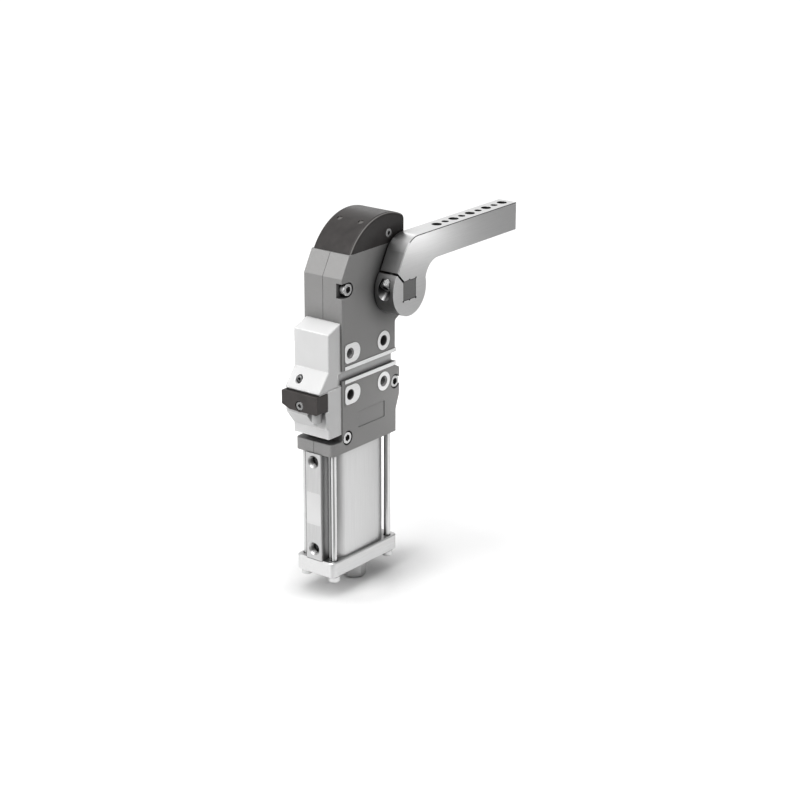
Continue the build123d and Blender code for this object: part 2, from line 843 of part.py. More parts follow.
def end_plate():
    """The cylinder's end plate, with its spigot, tie-rod holes, plug thread and air duct."""
    face = Pos(tube_x, 0) * RectangleRounded(plate_length, plate_width, plate_corner)
    plate = upright(face, plate_low_z, tube_low_z)
    plate = chamfer(plate.edges().group_by(Axis.Z)[0] + plate.edges().group_by(Axis.Z)[-1], plate_edge)
    plate += upright(stadium(tube_inner - spigot_fit), tube_low_z, spigot_top_z)
    plate -= ring_groove(seal_places()[1])
    through = plate_thickness + 2
    for x, y in tie_places:
        plate -= rod_along((0, 0, 1), tie_radius + tie_hole_gap, (x, y, plate_low_z - 1), through)
    plate -= rod_along((0, 0, 1), plug_stud + hair, (rod_x, 0, plate_low_z - 1), plate_thickness + 1)
    nut_depth = nut_height + bumper_thickness
    plate -= rod_along((0, 0, -1), nut_flats / 2 + nut_room, (rod_x, 0, spigot_top_z + 1), nut_depth)
    duct_z = tube_low_z - plate_thickness / 2
    depth = tube_low_z + 1 - duct_z + duct_radius
    plate -= rod_along((0, 0, -1), duct_radius, (duct_x, 0, tube_low_z + 1), depth)
    plate -= rod_along((1, 0, 0), duct_radius, (duct_x, 0, duct_z), duct_inner_x - duct_x)
    plate -= rod_along((0, 0, 1), duct_radius, (duct_inner_x, 0, duct_z), spigot_top_z - duct_z + 1)
    return plate


def tie_rods():
    """Four long socket screws up through the end plate into the body's flange."""
    length = plate_thickness + tube_length + tie_grip
    head = (tie_head, tie_head_height, tie_socket)
    return [cap_screw(tie_radius, head, length, (x, y, plate_low_z), (0, 0, -1)) for x, y in tie_places]


def hex_plug():
    """Hexagon plug in line with the rod, screwed into the end plate."""
    hexagon = Rot(0, 0, plug_turn_deg) * RegularPolygon(plug_flats / 2, 6, major_radius=False)
    head = upright(Pos(rod_x, 0) * hexagon, plate_low_z - plug_length, plate_low_z)
    turned = Cylinder(plug_flats / sqrt(3) + hair, plug_length)
    turned = chamfer(turned.edges().group_by(Axis.Z)[0], plug_chamfer)
    head &= Pos(rod_x, 0, plate_low_z - plug_length / 2) * turned
    return head + rod_along((0, 0, 1), plug_stud, (rod_x, 0, plate_low_z), plate_thickness - plug_stud_gap)


def port_rail():
    """The bar in front of the tube that carries both air ports."""
    bar = block(rail_front_x, port_rail_back_x, -port_rail_half, port_rail_half, tube_low_z, base_z)
    bar = chamfer(bar.edges().filter_by(Axis.Z).group_by(Axis.X)[0], rail_chamfer)
    bar -= upright(stadium(tube_outer + hair), tube_low_z - 1, base_z + 1)
    for z, end in ((base_z - port_top_drop, base_z + 1), (tube_low_z + port_low_rise, tube_low_z - 1)):
        bar -= rod_along((1, 0, 0), port_drill, (rail_front_x, 0, z), port_depth)
        mouth = countersink(port_drill + port_countersink, port_drill)
        bar -= Plane(origin=(rail_front_x, 0, z), z_dir=(1, 0, 0)) * mouth
        bar -= rod_along((0, 0, 1 if end > z else -1), duct_radius, (duct_x, 0, z), abs(end - z))
    return bar


# Clamp arm
def arm_profile():
    """Split hub and offset bar: a leaning back, a rounded top corner and a round inner corner."""
    start = polar_point(arm_hub, clamp_deg)
    lean = (arm_high_z - start[1]) / sin(radians(arm_back_lean))
    corner = (start[0] + lean * cos(radians(arm_back_lean)), arm_high_z)
    points = [
        start,
        corner,
        (arm_reach, arm_high_z),
        (arm_reach, arm_low_z),
        (arm_inner_x, arm_low_z),
        (arm_inner_x, -arm_root),
        (0, -arm_root),
    ]
    return Circle(arm_hub) + outline(points, [0, arm_back_radius, 0, 0, arm_inner_radius, 0, 0])


def clamp_arm():
    """The arm: square bore with relieved corners, clamping slit, screw pocket and a row of holes."""
    arm = side_slab(arm_profile(), arm_outer_y, arm_inner_y)
    rims = arm.faces().sort_by(Axis.Y)[0].edges() + arm.faces().sort_by(Axis.Y)[-1].edges()
    arm = chamfer(rims.filter_by(lambda e: e.center().Z > 0), arm_edge)
    hole = square / 2 + square_fit
    bore = Rectangle(2 * hole, 2 * hole)
    for i, j in ((-1, -1), (-1, 1), (1, -1), (1, 1), (0, 1), (0, -1)):
        bore += Pos(i * hole, j * hole) * Circle(bore_relief)
    slit = Rot(0, 0, clamp_deg) * Pos(hole + arm_hub / 2, 0) * Rectangle(arm_hub, slit_width)
    arm -= side_slab(bore + slit, arm_outer_y - 1, arm_inner_y + 1)
    seat, along = clamp_seat()
    back = (-along[0], 0, -along[2])
    arm -= rod_along(back, clamp_pocket, seat, 2 * arm_hub)
    arm -= rod_along(along, clamp_screw + screw_fit, seat, clamp_screw_length + screw_end_gap)
    depth = arm_high_z - arm_low_z + 2
    pitch = arm_hole_pitch
    for k in range(arm_hole_count):
        x = arm_hole_start + k * pitch
        arm -= rod_along((0, 0, 1), arm_hole, (x, arm_mid_y, arm_low_z - 1), depth)
    for k in range(arm_hole_count - 1):
        x = arm_hole_start + (k + 0.5) * pitch
        arm -= rod_along((0, 0, 1), arm_dowel, (x, arm_mid_y, arm_low_z - 1), depth)
    return arm


def clamp_seat():
    """The seat of the clamping screw's head and the direction of its shank, across the slit."""
    along = (sin(radians(clamp_deg)), 0, -cos(radians(clamp_deg)))
    middle = polar_point(clamp_screw_offset, clamp_deg)
    seat = (middle[0] - clamp_ligament * along[0], arm_mid_y, middle[1] - clamp_ligament * along[2])
    return seat, along


def arm_screw():
    """The socket screw that closes the slit."""
    seat, along = clamp_seat()
    back = (-along[0], 0, -along[2])
    head = (clamp_screw_head, clamp_head_height, clamp_socket)
    return cap_screw(clamp_screw, head, clamp_screw_length, seat, back)


# Switch housing
def hollow_front(points, half_width, inner_points):
    """A moulded housing from its side view, rounded at the front and hollow towards the body."""
    shell = side_slab(outline(points), -half_width, half_width)
    sides = shell.edges().group_by(Axis.Y)[0] + shell.edges().group_by(Axis.Y)[-1]
    front = sides.filter_by(lambda e: e.center().X < front_x - housing_wall and not is_flat_level(e))
    shell = fillet(front, housing_corner)
    inner = side_slab(outline(inner_points), -half_width + housing_wall, half_width - housing_wall)
    return shell - inner


def is_flat_level(edge):
    """True for an edge that lies level, such as the joint between the two mouldings."""
    return abs(edge.tangent_at(0).Z) < 0.01


def screw_post(y, z, radius, x_from):
    """A solid post inside the housing for a screw that runs back to the body."""
    return rod_along((1, 0, 0), radius, (x_from, y, z), front_x - x_from)


def switch_cover():
    """The upper moulding: flat face, sloping top and a shoulder that runs out over the connector."""
    points = [
        (front_x, housing_top_z),
        (housing_front_x, housing_top_front_z),
        (housing_front_x, housing_face_low_z),
        (shoulder_x, ledge_z),
        (front_x, ledge_z),
    ]
    wall = housing_wall
    inner = [
        (front_x + 1, housing_top_z - wall),
        (housing_front_x + wall, housing_top_front_z - wall),
        (housing_front_x + wall, housing_face_low_z),
        (shoulder_x + 2 * wall, ledge_z + wall),
        (shoulder_x + 2 * wall, ledge_z - 1),
        (front_x + 1, ledge_z - 1),
    ]
    shell = hollow_front(points, housing_half, inner)
    shell += screw_post(shoulder_screw_y, shoulder_screw_z, shoulder_post, shoulder_head_x)
    seat = (shoulder_head_x, shoulder_screw_y, shoulder_screw_z)
    shell -= rod_along((-1, 0, 0), shoulder_screw_head + small_head_gap, seat, shoulder_head_x - shoulder_x)
    shell -= rod_along((1, 0, 0), shoulder_screw + screw_fit, seat, front_x - shoulder_head_x + 1)
    for side in (-1, 1):
        low, high = sorted((side * (housing_half - 1), side * (housing_half + 1)))
        shell -= block(front_x - recess_width, front_x + 1, low, high, ledge_z + 1, ledge_z + recess_height)
    return shell


def switch_base():
    """The lower moulding: it takes the connector block and has a nose with a scallop for the plug."""
    points = [
        (front_x, ledge_z),
        (block_back_x, ledge_z),
        (block_back_x, block_low_z - block_gap),
        (nose_x, block_low_z - block_gap),
        (nose_x, nose_low_z),
        (base_front_x, base_face_high_z),
        (base_front_x, base_low_z),
        (front_x, base_low_z),
    ]
    wall = housing_wall
    inner = [
        (front_x + 1, ledge_z + 1),
        (block_back_x + wall, ledge_z + 1),
        (block_back_x + wall, base_low_z + wall),
        (front_x + 1, base_low_z + wall),
    ]
    shell = hollow_front(points, base_half, inner)
    ledge_half = base_half - 1
    ledge_x = shoulder_x + ledge_inset
    shell += block(ledge_x, block_back_x + hair, -ledge_half, ledge_half, block_top_z, ledge_z)
    low = base_low_z - 1
    scallop = rod_along((0, 0, 1), scallop_radius, (connector_x, connector_y, low), block_low_z - low)
    far = connector_y + scallop_radius
    scallop += block(nose_x - 1, connector_x, -base_half - 1, far, low, block_low_z)
    scallop &= block(nose_x - 1, base_front_x - front_flat, -base_half - 1, far, low, block_low_z)
    shell -= scallop
    boss_room = block_back_x - block_front_x + 1
    shell -= rod_along((1, 0, 0), block_boss + block_gap, (block_front_x - 1, 0, block_screw_z), boss_room)
    shell += screw_post(0, block_screw_z, block_post, block_back_x)
    depth = front_x - block_back_x + 2
    shell -= rod_along((1, 0, 0), block_screw + screw_fit, (block_back_x - 1, 0, block_screw_z), depth)
    return shell


def connector_block():
    """The dark block that holds the connector against the base."""
    half = block_half
    face = outline(
        [
            (-half, block_low_z),
            (half - block_cut_y, block_low_z),
            (half, block_low_z + block_cut_z),
            (half, block_top_z),
            (-half, block_top_z),
        ],
        [block_corner, 0, 0, block_corner, block_corner],
    )
    face += Pos(0, block_screw_z) * Circle(block_boss)
    body = extrude(Plane.YZ.offset(block_front_x) * face, block_back_x - block_front_x)
    seat = (block_front_x - 1, 0, block_screw_z)
    body -= rod_along((1, 0, 0), block_screw_head + small_head_gap, seat, block_seat_depth + 1)
    body -= rod_along((1, 0, 0), block_screw + screw_fit, seat, block_back_x - block_front_x + 2)
    hole = (connector_x, connector_y, block_low_z - 1)
    return body - rod_along((0, 0, 1), connector_radius + hair, hole, connector_top_z - block_low_z + 1)


def block_fixing():
    """The screw through the connector block and base into the body."""
    head_x = block_front_x + block_seat_depth
    length = front_x - head_x + screw_into_body
    head = (block_screw_head, block_head_height, block_socket)
    return cap_screw(block_screw, head, length, (head_x, 0, block_screw_z), (-1, 0, 0))


def shoulder_fixing():
    """The screw in the shoulder that holds the upper moulding."""
    length = front_x - shoulder_head_x + screw_into_body
    head = (shoulder_screw_head, shoulder_head_height, shoulder_socket)
    start = (shoulder_head_x, shoulder_screw_y, shoulder_screw_z)
    return cap_screw(shoulder_screw, head, length, start, (-1, 0, 0))


def connector():
    """The round signal connector: threaded sleeve with an open mouth below."""
    mouth = (connector_x, connector_y, connector_low_z)
    sleeve = rod_along((0, 0, 1), connector_radius, mouth, connector_top_z - connector_low_z)
    sleeve = chamfer(sleeve.edges().group_by(Axis.Z)[0], connector_chamfer)
    return sleeve - rod_along((0, 0, 1), connector_radius - connector_wall, mouth, connector_mouth)


def connector_pins():
    """Three contact pins in the connector's mouth."""
    pins = []
    for k in range(3):
        angle = radians(90 + 120 * k)
        x = connector_x + connector_pin_circle * cos(angle)
        y = connector_y + connector_pin_circle * sin(angle)
        start = (x, y, connector_low_z + connector_pin_recess)
        pins.append(rod_along((0, 0, 1), connector_pin, start, connector_pin_length))
    return pins


def sensor_carrier():
    """The board between the housing's side walls that the two switches are mounted on."""
    half = housing_half - housing_wall
    low = dog_z - stroke - carrier_ends
    return block(carrier_x - carrier_thickness, carrier_x, -half, half, low, dog_z - carrier_ends)


def proximity_switches():
    """Two switches with their sensing ends at the two ends of the dog's travel."""
    switches = []
    for z in (dog_z - switch_offset, dog_z - stroke + switch_offset):
        low, high = z - switch_height / 2, z + switch_height / 2
        body = block(carrier_x, switch_face_x, switch_low_y, switch_high_y, low, high)
        switches.append(chamfer(body.edges().filter_by(Axis.X), switch_chamfer))
    return switches


groove_low, groove_mid, groove_top = piston_grooves()
parts = {
    "body_half_near": drill_crown(body_near(), -1),
    "body_half_far": drill_crown(body_far(), 1),
    "body_screws": body_screws(),
    "top_cover": top_cover(),
    "cover_screws": cover_screws(),
    "shaft_bushes": shaft_bushes(),
    "guide_rail_front": guide_rail(-1),
    "guide_rail_back": guide_rail(1),
    "rod_cover": rod_cover(),
    "rod_bush": rod_bush(),
    "rod_seal": rod_seal(),
    "cylinder_tube": cylinder_tube(),
    "tube_seals": tube_seals(),
    "end_bumpers": end_bumpers(),
    "end_plate": end_plate(),
    "tie_rods": tie_rods(),
    "hex_plug": hex_plug(),
    "port_rail": port_rail(),
    "switch_cover": switch_cover(),
    "switch_base": switch_base(),
    "connector_block": connector_block(),
    "block_screw": block_fixing(),
    "shoulder_screw": shoulder_fixing(),
    "connector": connector(),
    "connector_pins": connector_pins(),
    "sensor_carrier": sensor_carrier(),
    "proximity_switches": proximity_switches(),
    "output_shaft": output_shaft(),
    "crank_pin": cross_pin(pin_radius, crank_x, crank_z, link_outer_y + 0.2),
    "clamp_arm": clamp_arm(),
    "arm_screw": arm_screw(),
    "link_plates": link_plates(),
    "knuckle": knuckle(),
    "knuckle_pin": cross_pin(pin_radius, rod_x, knuckle_z, link_outer_y + 0.2),
    "switch_dog": switch_dog(),
    "dog_pin": cross_pin(dog_pin_radius, dog_pin_x, dog_z, chamber_half - pin_recess),
    "piston_rod": piston_rod(),
    "piston": piston(),
    "piston_seal": piston_ring(*groove_mid),
    "wear_rings": [piston_ring(*groove_low), piston_ring(*groove_top)],
    "piston_nut": piston_nut(),
}

os.makedirs("parts", exist_ok=True)
for name, shape in parts.items():
    solids = shape if isinstance(shape, list) else [shape]
    export_step(Compound(children=[s for piece in solids for s in piece.solids()]), f"parts/{name}.step")
print(f"knuckle pin at z {knuckle_z:.3f}, crank pin at x {crank_x:.3f} z {crank_z:.3f}, stroke {stroke:.3f}")
print(f"{len(parts)} nodes, lowest point {plate_low_z - plug_length:.1f}")
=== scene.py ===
# %% [markdown]
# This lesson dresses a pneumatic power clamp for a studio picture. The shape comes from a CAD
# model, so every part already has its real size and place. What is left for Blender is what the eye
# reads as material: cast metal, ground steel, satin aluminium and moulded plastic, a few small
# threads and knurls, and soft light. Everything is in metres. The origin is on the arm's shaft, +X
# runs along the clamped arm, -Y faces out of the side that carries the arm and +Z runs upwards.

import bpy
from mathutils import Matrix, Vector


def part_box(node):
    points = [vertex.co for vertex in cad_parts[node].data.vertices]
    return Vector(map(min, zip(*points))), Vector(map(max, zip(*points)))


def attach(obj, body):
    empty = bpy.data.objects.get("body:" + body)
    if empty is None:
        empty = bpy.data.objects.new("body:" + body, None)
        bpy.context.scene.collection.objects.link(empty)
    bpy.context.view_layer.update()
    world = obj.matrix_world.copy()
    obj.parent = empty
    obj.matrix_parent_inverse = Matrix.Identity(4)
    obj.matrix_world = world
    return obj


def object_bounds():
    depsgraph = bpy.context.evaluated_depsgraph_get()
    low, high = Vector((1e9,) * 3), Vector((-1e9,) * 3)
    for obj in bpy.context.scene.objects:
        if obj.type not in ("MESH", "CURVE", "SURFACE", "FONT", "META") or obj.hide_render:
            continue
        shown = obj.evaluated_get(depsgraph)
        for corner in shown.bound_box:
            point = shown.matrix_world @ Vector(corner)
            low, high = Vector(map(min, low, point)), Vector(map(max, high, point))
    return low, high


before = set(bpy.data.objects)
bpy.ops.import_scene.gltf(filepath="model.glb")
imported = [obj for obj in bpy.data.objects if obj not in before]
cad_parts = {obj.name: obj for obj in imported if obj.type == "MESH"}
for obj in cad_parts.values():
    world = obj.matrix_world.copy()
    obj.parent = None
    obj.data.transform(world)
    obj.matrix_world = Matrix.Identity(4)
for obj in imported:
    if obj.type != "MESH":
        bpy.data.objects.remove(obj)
cad_box = [list(corner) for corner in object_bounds()]
print("nodes:", len(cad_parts), "box:", [[round(v, 4) for v in c] for c in cad_box])

# %% Modules and small helpers
from math import cos, pi, radians, sin

import bmesh
import bpy
from mathutils import Matrix, Vector

MM = 0.001
MICRON = 0.000001
WHITE = (1, 1, 1, 1)
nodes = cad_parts


def box_mm(name):
    """The lowest and highest corners of a CAD node, in millimetres."""
    low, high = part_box(name)
    return low / MM, high / MM


print("whole clamp is", round((cad_box[1][2] - cad_box[0][2]) / MM, 1), "mm high")

# %% [markdown]
# The camera comes first, because every finish is judged through it. The picture was taken from
# the front left and a little above with a long lens, which keeps the edges of the cylinder nearly
# parallel. The camera could follow a target object. Here it is built from its place, its heading,
# its tilt and a slight roll, because those four were found from the edges of the clamp.

# %% Camera
camera_place = Vector((-1.3180, -1.0475, 0.4863))
heading = radians(52.308)
tilt = radians(-19.196)
roll = radians(0.115)
focal_length = 99.238

forward = Vector((sin(heading) * cos(tilt), cos(heading) * cos(tilt), sin(tilt)))
level = forward.cross(Vector((0, 0, 1))).normalized()
upward = level.cross(forward)
right = level * cos(roll) + upward * sin(roll)
up = upward * cos(roll) - level * sin(roll)

lens = bpy.data.cameras.new("camera")
lens.sensor_width = 36
lens.lens = focal_length
lens.clip_start = 0.05
lens.clip_end = 60
camera = bpy.data.objects.new("camera", lens)
bpy.context.scene.collection.objects.link(camera)
turn = Matrix((right, up, -forward)).transposed().to_4x4()
camera.matrix_world = Matrix.Translation(camera_place) @ turn
bpy.context.scene.camera = camera
print("camera looks along", [round(v, 3) for v in forward])

# %% [markdown]
# Everything that follows is wired from shader nodes. Placing each one by hand takes three or four
# lines, so a few helpers do it: one for any node, and short ones for sums, for measures between
# vectors and for the ramp that turns a number into a mask.


# %% Node helpers
def add(tree, kind, inputs=None, **settings):
    """Places a shader node. Inputs are set by name or number, to a value or from another socket."""
    made = tree.nodes.new(kind)
    for name, value in settings.items():
        setattr(made, name, value)
    for name, value in (inputs or {}).items():
        if isinstance(value, bpy.types.NodeSocket):
            tree.links.new(value, made.inputs[name])
        else:
            made.inputs[name].default_value = value
    return made


def wire(tree, target, **sockets):
    """Connects sockets to a node's inputs. Underscores stand for spaces."""
    for name, socket in sockets.items():
        tree.links.new(socket, target.inputs[name.replace("_", " ")])


def maths(tree, operation, first, second=0.0):
    """One arithmetic step between two numbers."""
    return add(tree, "ShaderNodeMath", {0: first, 1: second}, operation=operation).outputs[0]


def equals(tree, value, target, tolerance):
    """One where a number is within a tolerance of a target."""
    inputs = {0: value, 1: target, 2: tolerance}
    return add(tree, "ShaderNodeMath", inputs, operation="COMPARE").outputs[0]


def vectors(tree, operation, first, second=(0, 0, 0)):
    """One arithmetic step between two vectors."""
    return add(tree, "ShaderNodeVectorMath", {0: first, 1: second}, operation=operation).outputs[0]


def measure(tree, operation, first, second=(0, 0, 0)):
    """A number out of one or two vectors, such as a length or a distance."""
    made = add(tree, "ShaderNodeVectorMath", {0: first, 1: second}, operation=operation)
    return made.outputs["Value"]


def ramp(tree, value, start, end, low=0.0, high=1.0, **settings):
    """A number that goes from low to high while the value goes from start to end."""
    inputs = {0: value, 1: start, 2: end, 3: low, 4: high}
    return add(tree, "ShaderNodeMapRange", inputs, **settings).outputs[0]


def coordinates(tree, kind="Object"):
    """The place of a shaded point, or its normal, in the frame of its own object."""
    return add(tree, "ShaderNodeTexCoord").outputs[kind]


def axes(tree, vector):
    """The three parts of a vector, by the names X, Y and Z."""
    return add(tree, "ShaderNodeSeparateXYZ", {0: vector}).outputs


def open_space(tree, distance):
    """How open the space round a point is, from nothing in a crack to one on a free face."""
    return add(tree, "ShaderNodeAmbientOcclusion", {"Distance": distance}, samples=8).outputs["AO"]


print("node helpers ready")

# %% [markdown]
# A product shot like this one stands on a white sweep. Bright metal shows whatever surrounds it,
# so the world is not one flat white. It is lighter above, three dark cloths hang past the arm's
# end, high on the right and behind the camera, and a patch behind the clamp glows. Cards of real
# geometry would do the same, but directions in the world cost nothing and cast no shadows. The
# camera itself sees plain white.

# %% Studio world
cloths = (  # direction, cosines where a cloth starts and is full, and the share of light left
    ((0.98, -0.17, 0.0), 0.80, 0.98, 0.15),
    ((-0.79, -0.61, 0.0), 0.75, 0.97, 0.50),
    ((0.747, -0.328, 0.576), 0.94, 0.985, 0.30),
    ((0.75, 0.58, 0.33), 0.86, 0.96, 1.50),
)
low_sky, high_sky = 0.50, 0.85
backdrop_strength = 1.1
world = bpy.data.worlds.new("studio")
bpy.context.scene.world = world
world.use_nodes = True
sky = world.node_tree
sky.nodes.clear()
direction = coordinates(sky, "Generated")
tone = ramp(sky, axes(sky, direction)["Z"], -0.35, 0.9, low_sky, high_sky)
for aim, start, full, left in cloths:
    cloth = ramp(sky, measure(sky, "DOT_PRODUCT", direction, aim), start, full, 1.0, left)
    tone = maths(sky, "MULTIPLY", tone, cloth)
seen = add(sky, "ShaderNodeBackground", {"Color": WHITE, "Strength": backdrop_strength})
glow = add(sky, "ShaderNodeBackground", {"Color": WHITE, "Strength": tone})
camera_ray = add(sky, "ShaderNodeLightPath").outputs["Is Camera Ray"]
both = add(sky, "ShaderNodeMixShader", {0: camera_ray, 1: glow.outputs[0], 2: seen.outputs[0]})
add(sky, "ShaderNodeOutputWorld", {"Surface": both.outputs[0]})
print("world ready, cloths:", len(cloths))

# %% [markdown]
# Two large panels, on the left and above, give the soft light of the whole picture. Three small
# cards close to the clamp lift single places, as a photographer does with pieces of white board:
# the bend of the arm, the back of the cover and the side of the body. The last one would show as
# a spot in the bright metal near it, so it only lights matt surfaces.


# %% Soft lights
def soft_light(name, place, aim, size, power):
    """A rectangular light that faces a point of the clamp, with a power in watts."""
    data = bpy.data.lights.new(name, "AREA")
    data.shape = "RECTANGLE"
    data.size, data.size_y = size
    data.energy = power
    lamp = bpy.data.objects.new(name, data)
    bpy.context.scene.collection.objects.link(lamp)
    lamp.location = place
    lamp.visible_camera = False
    lamp.rotation_euler = (Vector(aim) - Vector(place)).to_track_quat("-Z", "Y").to_euler()
    return lamp


clamp_middle = (0, 0, -0.08)
arm_bend = (-0.028, -0.04, 0.079)
cover_top = (-0.005, 0, 0.060)
body_side = (-0.01, -0.02, -0.095)
soft_light("left_panel", (-1.28, 0.15, 0.90), clamp_middle, (1.2, 1.3), 20)
soft_light("top_panel", (-0.3, 0.0, 1.3), clamp_middle, (0.9, 0.9), 7)
soft_light("arm_card", (0.166, -0.19, -0.006), arm_bend, (0.06, 0.024), 0.022)
soft_light("crown_card", (0.144, 0.115, 0.126), cover_top, (0.05, 0.03), 0.012)
side_card = soft_light("side_card", (0.07, -0.062, -0.10), body_side, (0.03, 0.03), 0.0075)
side_card.visible_glossy = False
side_card.data.spread = radians(80)

# %% [markdown]
# The floor is a round sheet of white paper, just under the plug that the clamp stands on. A
# curved sweep would look the same from here, so a flat sheet is enough.

# %% Floor
floor_gap = 0.5 * MM
floor_z = cad_box[0][2] - floor_gap
floor_radius = 0.62
shape = bmesh.new()
bmesh.ops.create_circle(shape, cap_ends=True, segments=96, radius=floor_radius)
sweep = bpy.data.meshes.new("floor")
shape.to_mesh(sweep)
shape.free()
floor = bpy.data.objects.new("floor", sweep)
floor.location = (0, 0, floor_z)
bpy.context.scene.collection.objects.link(floor)
print("floor at", round(floor_z, 4))

# %% [markdown]
# The paper has two jobs. To the camera it is white with a painted soft contact shadow. The tone
# comes from how open the space over a point is, three soft patches shape the painted shadow, two
# darker and one a painted lighter patch, and a faint glow further out hides where the sheet ends.
# To every other ray it is pale paper with two dark cloths laid on it, which show up only as darker
# reflections in the metal.

# %% Floor paper
floor_cloths = (  # direction, cosines where the cloth starts and is full, and its nearest edge
    ((0.91, 0.42, 0.0), 0.70, 0.95, 0.01),
    ((-0.79, -0.61, 0.0), 0.80, 0.97, 0.12),
)
shadow_patches = (  # middle, radius of the core, radius of the rim, and the factor on the tone
    ((-0.040, -0.016, 0.0), 0.004, 0.032, 1.26),
    ((0.020, -0.010, 0.0), 0.010, 0.050, 0.88),
    ((-0.076, 0.016, 0.0), 0.002, 0.028, 0.88),
)
paper_white = 0.85
paper_rough = 0.8
cloth_share = 0.25
cloth_edge = 0.04
shadow_reach = 0.075
darkest, lightest = 0.56, 0.88
glow_start, glow_full, glow_strength = 0.11, 0.32, 0.27

paper = bpy.data.materials.new("white_paper")
paper.use_nodes = True
page = paper.node_tree
paper_shader = page.nodes["Principled BSDF"]
paper_shader.inputs["Roughness"].default_value = paper_rough
paper_shader.inputs["Emission Color"].default_value = WHITE
eye = add(page, "ShaderNodeLightPath").outputs["Is Camera Ray"]
spot = coordinates(page)
bearing = vectors(page, "NORMALIZE", spot)
radius = measure(page, "LENGTH", spot)
hidden_tone = paper_white
for aim, start, full, near in floor_cloths:
    cloth = ramp(page, measure(page, "DOT_PRODUCT", bearing, aim), start, full, 1.0, cloth_share)
    laid = ramp(page, radius, near, near + cloth_edge, 1.0, cloth)
    hidden_tone = maths(page, "MULTIPLY", hidden_tone, laid)
# The camera's tone: a painted contact shadow from how open the space is, shaped by the patches
# below.
seen_tone = ramp(page, open_space(page, shadow_reach), 0.50, 0.97, darkest, lightest)
for middle, core, rim, factor in shadow_patches:
    apart = measure(page, "DISTANCE", spot, middle)
    patch = ramp(page, apart, core, rim, factor, 1.0, interpolation_type="SMOOTHSTEP")
    seen_tone = maths(page, "MULTIPLY", seen_tone, patch)
mixed = add(page, "ShaderNodeMix", {0: eye, 2: hidden_tone, 3: seen_tone}, data_type="FLOAT")
far_out = ramp(page, radius, glow_start, glow_full, 0.0, glow_strength)
edge_glow = maths(page, "MULTIPLY", eye, far_out)
wire(page, paper_shader, Base_Color=mixed.outputs[0], Emission_Strength=edge_glow)
sweep.materials.append(paper)
bpy.context.scene.view_settings.view_transform = "Standard"
print("paper ready, shadow patches:", len(shadow_patches))

# %% [markdown]
# Several finishes share the same small effects: rounded and worn edges, fine grain, long tool lines
# and painted shade in hollows. Each effect is a node group with named inputs and outputs, so that
# every material can use it with values of its own. A group only gives out masks, heights and
# normals. The shader stays in the material.


# %% Group helpers
def new_group(name, inputs, outputs):
    """An empty shader node group, and its input and output nodes."""
    group = bpy.data.node_groups.new(name, "ShaderNodeTree")
    for socket, value in inputs.items():
        kind = "NodeSocketVector" if isinstance(value, tuple) else "NodeSocketFloat"
        made = group.interface.new_socket(socket, in_out="INPUT", socket_type=kind)
        made.default_value = value
    for socket in outputs:
        kind = "NodeSocketVector" if socket == "Normal" else "NodeSocketFloat"
        group.interface.new_socket(socket, in_out="OUTPUT", socket_type=kind)
    return group, add(group, "NodeGroupInput").outputs, add(group, "NodeGroupOutput")


def use(material, group, **values):
    """Places a group in a material and returns its outputs. Underscores stand for spaces."""
    made = material.node_tree.nodes.new("ShaderNodeGroup")
    made.node_tree = group
    for name, value in values.items():
        made.inputs[name.replace("_", " ")].default_value = value
    return made.outputs


def noise(tree, vector, scale, detail, roughness=0.5):
    """Layered noise between nothing and one."""
    inputs = {"Vector": vector, "Scale": scale, "Detail": detail, "Roughness": roughness}
    return add(tree, "ShaderNodeTexNoise", inputs).outputs[0]


print("group helpers ready")

# %% [markdown]
# No machined edge is perfectly sharp. A bevel normal rounds it without new geometry, and where
# that normal leaves the true one, the edge is. Noise breaks the mask up, since edges wear in
# patches.

# %% Worn edge group
worn_edge, given, result = new_group(
    "worn edge", {"Radius": 0.4 * MM, "Breakup": 400.0}, ["Mask", "Normal"]
)
rounded = add(worn_edge, "ShaderNodeBevel", {"Radius": given["Radius"]}, samples=6).outputs[0]
facet = add(worn_edge, "ShaderNodeNewGeometry").outputs["Normal"]
bend = ramp(worn_edge, measure(worn_edge, "DOT_PRODUCT", rounded, facet), 0.995, 0.86)
patches = noise(worn_edge, coordinates(worn_edge), given["Breakup"], 3.0)
torn = ramp(worn_edge, patches, 0.35, 0.6, 0.35, 1.0)
wire(worn_edge, result, Mask=maths(worn_edge, "MULTIPLY", bend, torn), Normal=rounded)
print("worn edge:", [s.name for s in worn_edge.interface.items_tree])

# %% [markdown]
# Blasted, moulded and cast surfaces have two scales of change: a grain finer than a millimetre,
# which breaks up gloss, and slow clouds of tone, which keep a large face from looking painted.

# %% Fine grain group
fine_grain, given, result = new_group(
    "fine grain", {"Scale": 2400.0, "Tone Scale": 45.0}, ["Height", "Speck", "Tone"]
)
grit = noise(fine_grain, coordinates(fine_grain), given["Scale"], 4.0, 0.6)
cloud = noise(fine_grain, coordinates(fine_grain), given["Tone Scale"], 3.0)
speck = ramp(fine_grain, grit, 0.35, 0.65)
wire(fine_grain, result, Height=grit, Speck=speck, Tone=ramp(fine_grain, cloud, 0.3, 0.7))
print("fine grain:", [s.name for s in fine_grain.interface.items_tree])

# %% [markdown]
# Drawing, milling and grinding leave lines in one direction. Noise that is squeezed across the
# lines and left long beside them gives the same streaks, whatever way the face points.

# %% Tool line group
tool_lines, given, result = new_group(
    "tool lines", {"Stretch": (40.0, 2500.0, 2500.0)}, ["Height", "Streak"]
)
squeezed = vectors(tool_lines, "MULTIPLY", coordinates(tool_lines), given["Stretch"])
lines = noise(tool_lines, squeezed, 1.0, 3.0, 0.65)
wire(tool_lines, result, Height=lines, Streak=ramp(tool_lines, lines, 0.3, 0.7))
print("tool lines:", [s.name for s in tool_lines.interface.items_tree])
